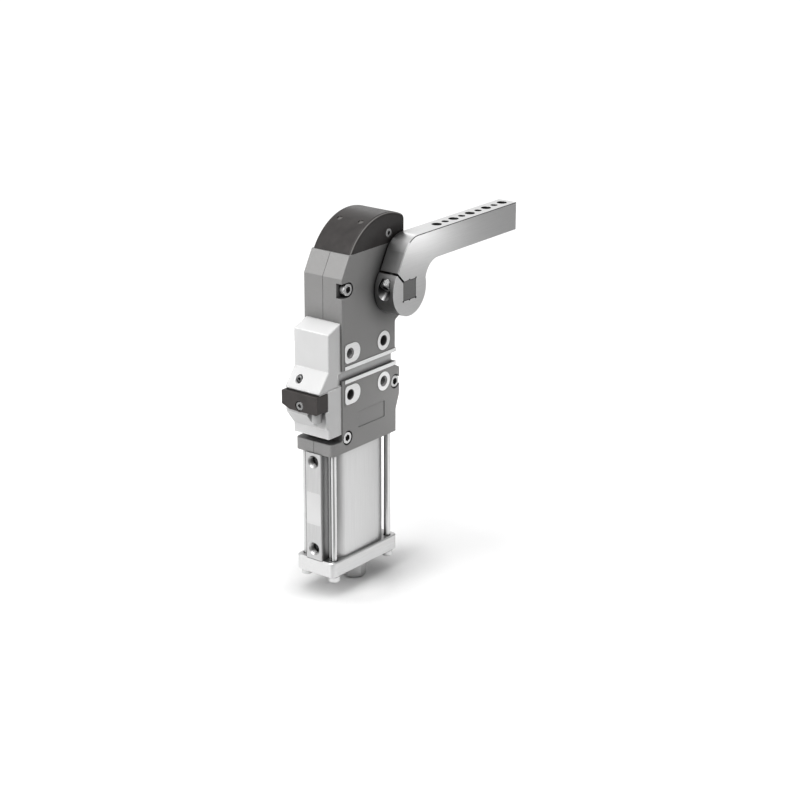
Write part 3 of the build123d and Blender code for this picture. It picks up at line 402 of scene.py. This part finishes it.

# %% [markdown]
# Where two parts meet, this mask paints shade, because a soft studio light washes the real shade
# out. It finds those places by how open the space is: a short reach for a painted black line in a
# crack, and a longer one for a painted soft shade round a contact.

# %% Painted shade group
painted_shade, given, result = new_group(
    "painted_shade", {"Reach": 3 * MM, "Contact": 16 * MM, "Depth": 0.6}, ["Mask"]
)
crack = ramp(painted_shade, open_space(painted_shade, given["Reach"]), 0.72, 0.30)
contact = ramp(painted_shade, open_space(painted_shade, given["Contact"]), 0.96, 0.45, 0.0, given["Depth"])
wire(painted_shade, result, Mask=maths(painted_shade, "MAXIMUM", crack, contact))
print("crevice:", [s.name for s in painted_shade.interface.items_tree])

# %% [markdown]
# A finish is one Principled shader with its own colour, metal share and roughness. On top of that
# it mixes a second tone through a mask, lets the roughness wander a little, and adds a shallow
# bump whose depth is a true depth in metres. The helpers below wire that up, so each finish
# further on only says what is special about it.


# %% Finish helpers
def grey(value, warm=0.0):
    """A neutral colour, a little warmer where asked."""
    return (value * (1 + warm), value, value * (1 - warm), 1)


def brown(value):
    """A dark colour with a slight brown cast."""
    return (value * 1.13, value, value * 0.965, 1)


def new_finish(name, metallic):
    """A material with its tree, and a Principled shader with a plain metal share."""
    material = bpy.data.materials.new(name)
    material.use_nodes = True
    shader = material.node_tree.nodes["Principled BSDF"]
    shader.inputs["Metallic"].default_value = metallic
    return material, material.node_tree, shader


def mix_colour(tree, mask, first, second):
    """A colour that goes from the first to the second with a mask."""
    inputs = {0: mask, 6: first, 7: second}
    return add(tree, "ShaderNodeMix", inputs, data_type="RGBA").outputs[2]


def mix_value(tree, mask, first, second):
    """A number that goes from the first to the second with a mask."""
    inputs = {0: mask, 2: first, 3: second}
    return add(tree, "ShaderNodeMix", inputs, data_type="FLOAT").outputs[0]


def bump(tree, height, depth, normal):
    """A bump of a true depth on top of another normal."""
    inputs = {"Height": height, "Distance": depth, "Normal": normal, "Strength": 1.0}
    return add(tree, "ShaderNodeBump", inputs).outputs[0]


def repaint(material, mask, colour):
    """Mixes one more colour over a finish through a mask."""
    tree = material.node_tree
    shader = tree.nodes["Principled BSDF"]
    below = shader.inputs["Base Color"].links[0].from_socket
    wire(tree, shader, Base_Color=mix_colour(tree, mask, below, colour))


print("finish helpers ready")

# %% [markdown]
# The two body halves are aluminium castings that were bead-blasted and coated in a flat mid grey.
# The pads, the band and the key slot across both sides are milled after that, so they are bare
# and show tool lines. Separate meshes for them would leave seams. They stand 0.4 mm proud of the
# casting instead, so a mask on the distance from the middle plane finds them, and a second one
# rounds the pads' left corners.


# %% Masks on the body
def from_middle_plane(tree):
    """How far a point is from the plane where the body halves meet, and the parts of its place."""
    place = axes(tree, coordinates(tree))
    return maths(tree, "ABSOLUTE", place["Y"]), place


slot_middle = -60.3 * MM
slot_floor = 16.5 * MM
slot_half = 4.0 * MM
pad_row = 17.0 * MM
pad_half = 7.85 * MM
pad_corner = 4.0 * MM
pad_left = -57.2 * MM


def rounded_pads(tree, place):
    """One on the pads and the band, and nothing past the pads' rounded left corners."""
    row = maths(tree, "ABSOLUTE", maths(tree, "SUBTRACT", place["Z"], slot_middle))
    row = maths(tree, "ABSOLUTE", maths(tree, "SUBTRACT", row, pad_row))
    past_left = maths(tree, "SUBTRACT", pad_left + pad_corner, place["X"])
    past_row = maths(tree, "SUBTRACT", row, pad_half - pad_corner)
    corner = add(tree, "ShaderNodeCombineXYZ", {0: past_left, 1: past_row}).outputs[0]
    reach = measure(tree, "LENGTH", vectors(tree, "MAXIMUM", corner))
    inside = ramp(tree, reach, pad_corner, pad_corner + 0.1 * MM, 1.0, 0.0)
    other_rows = ramp(tree, row, pad_half + 0.2 * MM, pad_half + 0.3 * MM)
    return maths(tree, "MAXIMUM", inside, other_rows)


def slot_mask(tree, away, place):
    """One on the milled floor of the key slots."""
    on_floor = equals(tree, away, slot_floor, 0.1 * MM)
    return maths(tree, "MULTIPLY", on_floor, equals(tree, place["Z"], slot_middle, slot_half))


print("slot middle at", round(slot_middle / MM, 1), "mm")

# %% [markdown]
# The coat itself is two close greys in slow clouds with lighter specks and edges. A narrow dark
# line on the middle plane draws the joint of the halves, which is too fine to model as a groove.

# %% Cast body
cast_side = 19.0 * MM
proud_start, proud_full = cast_side + 0.2 * MM, cast_side + 0.3 * MM
joint_half = 0.26 * MM
coat_dark, coat_light, coat_speck = grey(0.214, 0.01), grey(0.244, 0.01), grey(0.265, 0.01)
bare_dark, bare_light, slot_grey, coat_edge = grey(0.80), grey(0.92), grey(0.60), grey(0.42)
joint_black, painted_shade_black = grey(0.03), grey(0.015)
coat_smooth, coat_rough, milled_rough = 0.50, 0.60, 0.34
grain_depth = 0.06 * MM

body_finish, tree, shader = new_finish("cast_metal", 0.35)
grain = use(body_finish, fine_grain, Scale=2100.0, Tone_Scale=38.0)
edge = use(body_finish, worn_edge, Radius=0.5 * MM, Breakup=350.0)
lines = use(body_finish, tool_lines, Stretch=(60.0, 300.0, 2600.0))
hollow = use(body_finish, painted_shade, Reach=4.5 * MM, Depth=0.7)
away, place = from_middle_plane(tree)
proud = ramp(tree, away, proud_start, proud_full)
milled = maths(tree, "MULTIPLY", proud, rounded_pads(tree, place))
colour = mix_colour(tree, grain["Tone"], coat_dark, coat_light)
colour = mix_colour(tree, grain["Speck"], colour, coat_speck)
colour = mix_colour(tree, edge["Mask"], colour, coat_edge)
colour = mix_colour(tree, slot_mask(tree, away, place), colour, slot_grey)
colour = mix_colour(tree, milled, colour, mix_colour(tree, lines["Streak"], bare_dark, bare_light))
colour = mix_colour(tree, ramp(tree, away, joint_half, 0.0), colour, joint_black)
# Painted shade: black in cracks and a soft darkening round contacts.
colour = mix_colour(tree, hollow["Mask"], colour, painted_shade_black)
rough = mix_value(tree, grain["Tone"], coat_smooth, coat_rough)
rough = mix_value(tree, milled, rough, milled_rough)
height = mix_value(tree, milled, grain["Height"], lines["Height"])
normal = bump(tree, height, grain_depth, edge["Normal"])
wire(tree, shader, Base_Color=colour, Roughness=rough, Normal=normal)
print("finish:", body_finish.name)

# %% [markdown]
# Three mouldings cover the clamp: a dark cap over the head, a white switch housing and a dark
# connector block. Moulds for parts like these are spark-eroded, which leaves a very fine texture,
# so the plastics share one recipe with different colours, roughness and grain. Their hollows get a
# painted shade, which is kept paler on the white plastic, since white plastic scatters light into
# its own hollows.


# %% Moulded plastics
def moulded(
    name, colours, rough, depth, edge_tone, radius=0.5 * MM, reach=2 * MM, patch=30.0, painted_shade_share=0.25
):
    """Textured moulding in two close colours, with lighter edges and painted shade in its hollows.
    """
    material, tree, shader = new_finish(name, 0.0)
    shader.inputs["Specular IOR Level"].default_value = 0.30
    grain = use(material, fine_grain, Scale=2800.0, Tone_Scale=patch)
    edge = use(material, worn_edge, Radius=radius, Breakup=250.0)
    hollow = use(material, painted_shade, Reach=reach)
    painted_shade_tone = tuple(painted_shade_share * c for c in colours[0][:3]) + (1,)
    tint = mix_colour(tree, grain["Tone"], *colours)
    tint = mix_colour(tree, edge["Mask"], tint, edge_tone)
    # Painted shade in the hollows: a darker copy of the colour.
    tint = mix_colour(tree, hollow["Mask"], tint, painted_shade_tone)
    roughness = mix_value(tree, grain["Tone"], rough, rough + 0.08)
    normal = bump(tree, grain["Height"], depth, edge["Normal"])
    wire(tree, shader, Base_Color=tint, Roughness=roughness, Normal=normal)
    return material


cover_browns = (brown(0.017), brown(0.028))
housing_greys = (grey(0.54), grey(0.58))
block_browns = (brown(0.028), brown(0.038))
cover_finish = moulded(
    "dark_cover", cover_browns, 0.40, 20 * MICRON, brown(0.07), reach=1 * MM, patch=110.0
)
# The white housing's light edge tone over its wide rounding is partly wear and partly a painted
# highlight.
housing_finish = moulded(
    "white_housing", housing_greys, 0.42, 12 * MICRON, grey(0.92), radius=2 * MM, painted_shade_share=0.6
)
block_finish = moulded("dark_block", block_browns, 0.42, 20 * MICRON, brown(0.10), patch=90.0)
print("finishes:", cover_finish.name, housing_finish.name, block_finish.name)

# %% [markdown]
# The cover's long rounded edges carry a painted highlight, a lighter line where they catch the
# light, and its two dimples are painted paler than the skin round them, a painted highlight where
# light falls into them. The shapes are in the CAD model, so only the colour is missing. The rounded
# edges are found by how far the surface leans to the side, and the dimples by the distance from
# each one's axis.

# %% Painted highlights on the cover's edges and dimples
rounding_lean, lean_range = 0.66, 0.20
highlight_share = 0.6
cover_tree = cover_finish.node_tree
facing = add(cover_tree, "ShaderNodeNewGeometry").outputs["Normal"]
lean = maths(cover_tree, "ABSOLUTE", axes(cover_tree, facing)["Y"])
off_edge = maths(cover_tree, "ABSOLUTE", maths(cover_tree, "SUBTRACT", lean, rounding_lean))
painted_highlight = ramp(cover_tree, off_edge, 0.0, lean_range, highlight_share, 0.0)
# Painted highlight along the rounded edges.
repaint(cover_finish, painted_highlight, grey(0.30, 0.03))

dimple_x, dimple_y, dimple_z = -5.8 * MM, 10.5 * MM, 9.4 * MM
dimple_axis = (-0.401, 0, 0.916)
dimple_core, dimple_rim = 1.9 * MM, 2.6 * MM
away, place = from_middle_plane(cover_tree)
ahead = maths(cover_tree, "SUBTRACT", place["X"], dimple_x)
across = maths(cover_tree, "SUBTRACT", away, dimple_y)
above = maths(cover_tree, "SUBTRACT", place["Z"], dimple_z)
offset = add(cover_tree, "ShaderNodeCombineXYZ", {0: ahead, 1: across, 2: above}).outputs[0]
crossed = vectors(cover_tree, "CROSS_PRODUCT", offset, dimple_axis)
off_axis = measure(cover_tree, "LENGTH", crossed)
dimple_highlight = ramp(cover_tree, off_axis, dimple_core, dimple_rim, 1.0, 0.0)
# Painted highlight in the dimples.
repaint(cover_finish, dimple_highlight, grey(0.10, 0.04))
print("cover has polished edges and dimples")

# %% [markdown]
# Bare metals differ mostly in how they were cut. The tube is drawn, so its lines run up the
# cylinder. The arm is ground along its length. Turned and plated parts have almost no lines. One
# recipe takes the direction of the lines as a stretch: a small number along one axis makes long
# streaks that way.


# %% Bare metal recipe
def greys(dark, light):
    """Two neutral colours."""
    return grey(dark), grey(light)


def machined(name, colours, rough, stretch, depth, reach=3 * MM, contact=0.6):
    """Bare metal with tool lines in one direction, brighter broken edges and painted shade in its
    hollows and round contacts.
    """
    material, tree, shader = new_finish(name, 1.0)
    lines = use(material, tool_lines, Stretch=stretch)
    grain = use(material, fine_grain, Scale=900.0, Tone_Scale=25.0)
    edge = use(material, worn_edge, Radius=0.35 * MM, Breakup=300.0)
    hollow = use(material, painted_shade, Reach=reach, Depth=contact)
    colour = mix_colour(tree, lines["Streak"], *colours)
    colour = mix_colour(tree, edge["Mask"], colour, colours[1])
    # Painted shade in hollows and round contacts.
    colour = mix_colour(tree, hollow["Mask"], colour, grey(0.02))
    roughness = mix_value(tree, lines["Streak"], rough + 0.06, rough)
    roughness = mix_value(tree, grain["Tone"], roughness, rough + 0.04)
    normal = bump(tree, lines["Height"], depth, edge["Normal"])
    wire(tree, shader, Base_Color=colour, Roughness=roughness, Normal=normal)
    return material


print("metal recipe ready")

# %% Aluminium
up_the_tube = (1500.0, 1500.0, 25.0)
up_the_rail = (1500.0, 1500.0, 40.0)
along_the_plate = (60.0, 1800.0, 1800.0)
tube_finish = machined(
    "drawn_tube", greys(0.62, 0.68), 0.36, up_the_tube, 6 * MICRON, contact=0.3
)
plate_finish = machined("milled_plate", greys(0.62, 0.72), 0.33, along_the_plate, 20 * MICRON)
rail_finish = machined(
    "port_bar", greys(0.48, 0.55), 0.32, up_the_rail, 8 * MICRON, reach=6 * MM, contact=0.4
)
print("aluminium:", tube_finish.name, plate_finish.name, rail_finish.name)

# %% Steel, bronze and chrome
along_the_arm = (45.0, 2500.0, 2500.0)
up_the_rods = (900.0, 900.0, 60.0)
any_way = (700.0, 700.0, 700.0)
round_the_plug = (300.0, 300.0, 2200.0)
across_the_clamp = (1400.0, 60.0, 1400.0)
arm_finish = machined(
    "ground_arm", greys(0.67, 0.73), 0.28, along_the_arm, 4 * MICRON, reach=8 * MM, contact=0.9
)
shaft_finish = machined("hard_shaft", greys(0.18, 0.23), 0.34, across_the_clamp, 10 * MICRON)
plated_finish = machined(
    "plated_screws", greys(0.60, 0.68), 0.22, any_way, 6 * MICRON, reach=4 * MM
)
small_screw_finish = machined("small_screws", greys(0.24, 0.32), 0.24, any_way, 6 * MICRON)
tie_finish = machined("tie_rods", greys(0.66, 0.74), 0.16, up_the_rods, 5 * MICRON)
plug_finish = machined("turned_plug", greys(0.62, 0.72), 0.34, round_the_plug, 10 * MICRON)
inner_finish = machined(
    "hardened_steel", greys(0.36, 0.42), 0.26, (1500.0, 200.0, 1500.0), 6 * MICRON
)
bronze = ((0.48, 0.30, 0.12, 1), (0.56, 0.36, 0.16, 1))
bush_finish = machined("plain_bronze", bronze, 0.30, (1200.0, 200.0, 1200.0), 6 * MICRON)
chrome_finish = machined(
    "ground_chrome", greys(0.72, 0.78), 0.10, (900.0, 900.0, 80.0), 3 * MICRON
)
print("materials so far:", len(bpy.data.materials))

# %% [markdown]
# The flat sides of the real tube aren't quite flat. They crown a little, which bends the
# reflection across them. The CAD face stays flat, and a bump that falls with the square of the
# distance from the middle tilts its normal as a crown would.

# %% Crown of the tube's flat sides
tube_middle = -32.0 * MM
crown_curve = -4.7
tube_tree = tube_finish.node_tree
along_x = axes(tube_tree, coordinates(tube_tree))["X"]
off_middle = maths(tube_tree, "SUBTRACT", along_x, tube_middle)
squared = maths(tube_tree, "MULTIPLY", off_middle, off_middle)
tool_bump = next(n for n in tube_tree.nodes if n.bl_idname == "ShaderNodeBump")
below = tool_bump.inputs["Normal"].links[0].from_socket
crowned = bump(tube_tree, maths(tube_tree, "MULTIPLY", squared, crown_curve), 1.0, below)
wire(tube_tree, tool_bump, Normal=crowned)
print("tube sides are crowned")

# %% [markdown]
# The arm was sawn from rolled bar, and its two sides and its top are ground bright. Its rear edge
# and underside are painted darker, a painted shade on the faces turned away from the light, and a
# thin dark line painted along the top bevel stands in for a dark reflection there. Both are found
# by the way the surface faces. The normal is taken in the arm's own frame, so they stay put when
# the arm swings.

# %% Painted shade and painted bevel reflection of the arm
arm_tree = arm_finish.node_tree
arm_normal = coordinates(arm_tree, "Normal")
parts = axes(arm_tree, arm_normal)
rear_and_down = (-0.9, 0, -0.43)
painted_shade_facing = measure(arm_tree, "DOT_PRODUCT", arm_normal, rear_and_down)
# Painted shade on the faces that turn rearward and down.
repaint(arm_finish, ramp(arm_tree, painted_shade_facing, 0.15, 0.60), grey(0.20))
bevel_lean = 0.70
sideways = equals(arm_tree, maths(arm_tree, "ABSOLUTE", parts["Y"]), bevel_lean, 0.15)
skyward = equals(arm_tree, parts["Z"], bevel_lean, 0.12)
# Painted dark reflection along the top bevel.
repaint(arm_finish, maths(arm_tree, "MULTIPLY", sideways, skyward), grey(0.12))
print("arm has a dark skin and bevel")

# %% [markdown]
# Rubber seals, wear rings, the circuit board and the connector are small, and most are inside.
# They still get a real finish, because a cut-away or an exploded view of the clamp would show
# them. The two recipes above cover them all: moulded for rubber, plastic and foil, and machined
# for the pins.

# %% Small parts
seal_finish = moulded("seal_rubber", greys(0.018, 0.024), 0.60, 20 * MICRON, grey(0.03))
bumper_colours = ((0.30, 0.09, 0.03, 1), (0.34, 0.11, 0.04, 1))
bumper_finish = moulded("bumper_rubber", bumper_colours, 0.55, 20 * MICRON, (0.36, 0.13, 0.05, 1))
wear_colours = (grey(0.60, 0.08), grey(0.66, 0.08))
wear_finish = moulded("wear_plastic", wear_colours, 0.40, 10 * MICRON, grey(0.7, 0.06))
board_colours = ((0.03, 0.14, 0.06, 1), (0.04, 0.18, 0.08, 1))
board_finish = moulded("board", board_colours, 0.35, 10 * MICRON, (0.1, 0.2, 0.1, 1))
switch_finish = moulded("switch_case", greys(0.02, 0.03), 0.30, 6 * MICRON, grey(0.05))
connector_finish = moulded(
    "connector_shell", greys(0.36, 0.42), 0.26, 8 * MICRON, grey(0.62), painted_shade_share=0.6
)
label_finish = moulded(
    "blank_label", greys(0.55, 0.59), 0.30, 4 * MICRON, grey(0.74), radius=0.1 * MM
)
brass = ((0.70, 0.52, 0.20, 1), (0.80, 0.62, 0.28, 1))
pin_finish = machined("gilt_pins", brass, 0.22, (900.0, 900.0, 900.0), 3 * MICRON)
print("materials in all:", len(bpy.data.materials))

# %% [markdown]
# Now each CAD node gets its finish. A table from finish to node names keeps this readable and
# makes it easy to check that no node was forgotten.

# %% Dress the nodes
dressed = {
    body_finish: ["body_half_near", "body_half_far"],
    cover_finish: ["top_cover"],
    housing_finish: ["switch_cover", "switch_base"],
    block_finish: ["connector_block"],
    tube_finish: ["cylinder_tube"],
    plate_finish: ["end_plate", "rod_cover", "piston"],
    rail_finish: ["port_rail"],
    arm_finish: ["clamp_arm"],
    shaft_finish: ["output_shaft"],
    plated_finish: ["body_screws", "cover_screws"],
    small_screw_finish: ["block_screw", "shoulder_screw", "arm_screw"],
    tie_finish: ["tie_rods"],
    plug_finish: ["hex_plug"],
    inner_finish: [
        "guide_rail_front",
        "guide_rail_back",
        "link_plates",
        "knuckle",
        "crank_pin",
        "knuckle_pin",
        "switch_dog",
        "dog_pin",
        "piston_nut",
    ],
    bush_finish: ["shaft_bushes", "rod_bush"],
    chrome_finish: ["piston_rod"],
    seal_finish: ["rod_seal", "tube_seals", "piston_seal"],
    bumper_finish: ["end_bumpers"],
    wear_finish: ["wear_rings"],
    board_finish: ["sensor_carrier"],
    switch_finish: ["proximity_switches"],
    connector_finish: ["connector"],
    pin_finish: ["connector_pins"],
}
for material, names in dressed.items():
    for name in names:
        skin = nodes[name].data.materials
        skin.clear()
        skin.append(material)
undressed = sorted(set(nodes) - {name for names in dressed.values() for name in names})
print("nodes without a finish:", undressed)

# %% [markdown]
# The CAD holes are plain bores, as a machinist drills them before tapping. The real ones show
# bright thread crests inside. A thread is a triangle swept along a helix, so a short loop makes
# it: every step turns a little further, moves a little deeper and adds three points. The ridge
# stands inwards from the bore's wall and sits slightly in it, so no gap shows.


# %% Piece helper
def new_piece(name, shape, material, body):
    """Turns a bmesh into a piece with a finish that rides on a body."""
    bmesh.ops.recalc_face_normals(shape, faces=shape.faces)
    data = bpy.data.meshes.new(name)
    shape.to_mesh(data)
    shape.free()
    data.materials.append(material)
    piece = bpy.data.objects.new(name, data)
    bpy.context.scene.collection.objects.link(piece)
    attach(piece, body)
    return piece


def square_to(axis):
    """Two directions that are square to an axis and to each other."""
    side = axis.orthogonal().normalized()
    return side, axis.cross(side)


def join_rings(shape, first, second):
    """A band of faces between two rings with the same number of points."""
    for i in range(len(first)):
        j = (i + 1) % len(first)
        shape.faces.new((first[i], first[j], second[j], second[i]))


print("piece helper ready")

# %% Thread helper
steps_per_turn = 28
flank_share = 0.42
sunk = 0.05


def add_thread(shape, mouth, axis, bore, height, pitch, length):
    """A helical ridge that starts at the mouth and runs along the axis, in millimetres."""
    axis = Vector(axis)
    side, other = square_to(axis)
    sections = []
    for i in range(int(length / pitch * steps_per_turn) + 1):
        angle = 2 * pi * i / steps_per_turn
        outward = side * cos(angle) + other * sin(angle)
        middle = Vector(mouth) + axis * (pitch * i / steps_per_turn)
        flank = axis * (flank_share * pitch)
        root = middle + outward * (bore + sunk)
        points = (root - flank, middle + outward * (bore - height), root + flank)
        sections.append([shape.verts.new(point * MM) for point in points])
    for first, second in zip(sections, sections[1:]):
        join_rings(shape, first, second)
    shape.faces.new(reversed(sections[0]))
    shape.faces.new(sections[-1])


print("steps per turn:", steps_per_turn)

# %% Threads
pad_thread = {"bore": 3.4, "height": 0.34, "pitch": 1.25, "length": 7.4}
port_thread = {"bore": 4.3, "height": 0.32, "pitch": 0.907, "length": 3.6}
pad_mouth = 18.4
port_mouth = -73.2
shape = bmesh.new()
for x, z, side in ((-50.5, -43.3, -1), (-8.5, -77.3, -1), (-8.5, -43.3, 1), (-50.5, -77.3, 1)):
    add_thread(shape, (x, side * pad_mouth, z), (0, -side, 0), **pad_thread)
mount_threads = new_piece("mount_threads", shape, plated_finish, "housing")
shape = bmesh.new()
for z in (-131.4, -205.4):
    add_thread(shape, (port_mouth, 0.0, z), (1, 0, 0), **port_thread)
port_threads = new_piece("port_threads", shape, rail_finish, "housing")
print("thread faces:", len(mount_threads.data.polygons) + len(port_threads.data.polygons))

# %% [markdown]
# Socket screws have a straight knurl round the head, so that fingers can start them. Each tooth
# is a peak and a valley on a ring of points, and the ring is repeated at four heights so that the
# knurl runs out before the head's edges. Two more rings close the band inside the head.

# %% Knurl helper
knurl_rise = 0.14
knurl_runout = 0.35


def add_knurl(shape, foot, axis, radius, low, high, teeth):
    """A toothed band round a screw head, between two heights above its seat, in millimetres."""
    axis = Vector(axis)
    side, other = square_to(axis)
    levels = (  # height, and how far the peaks and the valleys stand off the head
        (low, -0.2, -0.2),
        (low, 0.02, 0.0),
        (low + knurl_runout, knurl_rise, 0.02),
        (high - knurl_runout, knurl_rise, 0.02),
        (high, 0.02, 0.0),
        (high, -0.2, -0.2),
    )
    rings = []
    for height, peak, valley in levels:
        ring = []
        for i in range(2 * teeth):
            angle = pi * i / teeth
            outward = side * cos(angle) + other * sin(angle)
            reach = radius + (valley if i % 2 else peak)
            ring.append(shape.verts.new((Vector(foot) + axis * height + outward * reach) * MM))
        rings.append(ring)
    for first, second in zip(rings, rings[1:] + rings[:1]):
        join_rings(shape, first, second)


print("knurl rises", knurl_rise, "mm")

# %% Knurls
body_seat, body_head = -13.4, 5.0
tie_seat, tie_head = -227.1, 4.4
shape = bmesh.new()
for x, z in ((-52.2, 8.2), (6.6, -81.5), (-54.0, -112.5)):
    add_knurl(shape, (x, body_seat, z), (0, -1, 0), body_head, 0.6, 4.7, 36)
body_knurls = new_piece("body_screw_knurls", shape, plated_finish, "housing")
shape = bmesh.new()
for x in (-66.2, 2.2):
    for y in (-14.1, 14.1):
        add_knurl(shape, (x, y, tie_seat), (0, 0, -1), tie_head, 0.5, 4.4, 32)
tie_knurls = new_piece("tie_head_knurls", shape, tie_finish, "housing")

screw_offset = 16.0
screw_seat = 5.0
low, high = box_mm("arm_screw")
slope = cos(pi / 4)
foot_x = (-screw_offset - screw_seat) * slope
foot_z = (screw_offset - screw_seat) * slope
shape = bmesh.new()
foot = (foot_x, (low.y + high.y) / 2, foot_z)
add_knurl(shape, foot, (-slope, 0, -slope), body_head, 0.6, 5.3, 36)
arm_knurl = new_piece("arm_screw_knurl", shape, small_screw_finish, "arm")
print("knurl faces:", sum(len(k.data.polygons) for k in (body_knurls, tie_knurls, arm_knurl)))

# %% [markdown]
# The port rail carries a small foil label. Here it stays blank: a thin plate with rounded corners
# that lies on the rail's front face, a little brighter and smoother than the metal round it. A
# tone in the rail's material would do from afar, but a real edge catches the light.

# %% Blank label
label_left, label_right = -7.3, 7.0
label_bottom, label_top = -184.6, -157.2
label_middle = (label_bottom + label_top) / 2
rounding = 1.2
corner_steps = 6
corners = (  # y, z, the way to the middle along both, and the angle at which the corner starts
    (label_left, label_bottom, 1, 1, pi),
    (label_right, label_bottom, -1, 1, 1.5 * pi),
    (label_right, label_top, -1, -1, 0.0),
    (label_left, label_top, 1, -1, 0.5 * pi),
)
outline = []
for y, z, dy, dz, turn_start in corners:
    for k in range(corner_steps + 1):
        angle = turn_start + k * pi / (2 * corner_steps)
        point_y = y + dy * rounding + rounding * cos(angle)
        outline.append((point_y, z + dz * rounding + rounding * sin(angle)))
rail_face = box_mm("port_rail")[0].x
shape = bmesh.new()
layers = []
for out, inset in ((0.02, 0.0), (-0.06, 0.0), (-0.09, 0.05)):
    layer = []
    for y, z in outline:
        pull_y = y - inset * (1 if y > 0 else -1)
        pull_z = z - inset * (1 if z > label_middle else -1)
        layer.append(shape.verts.new(Vector((rail_face + out, pull_y, pull_z)) * MM))
    layers.append(layer)
for first, second in zip(layers, layers[1:]):
    join_rings(shape, first, second)
shape.faces.new(layers[0])
shape.faces.new(layers[-1])
label = new_piece("blank_label", shape, label_finish, "housing")
print("label points:", len(label.data.vertices))
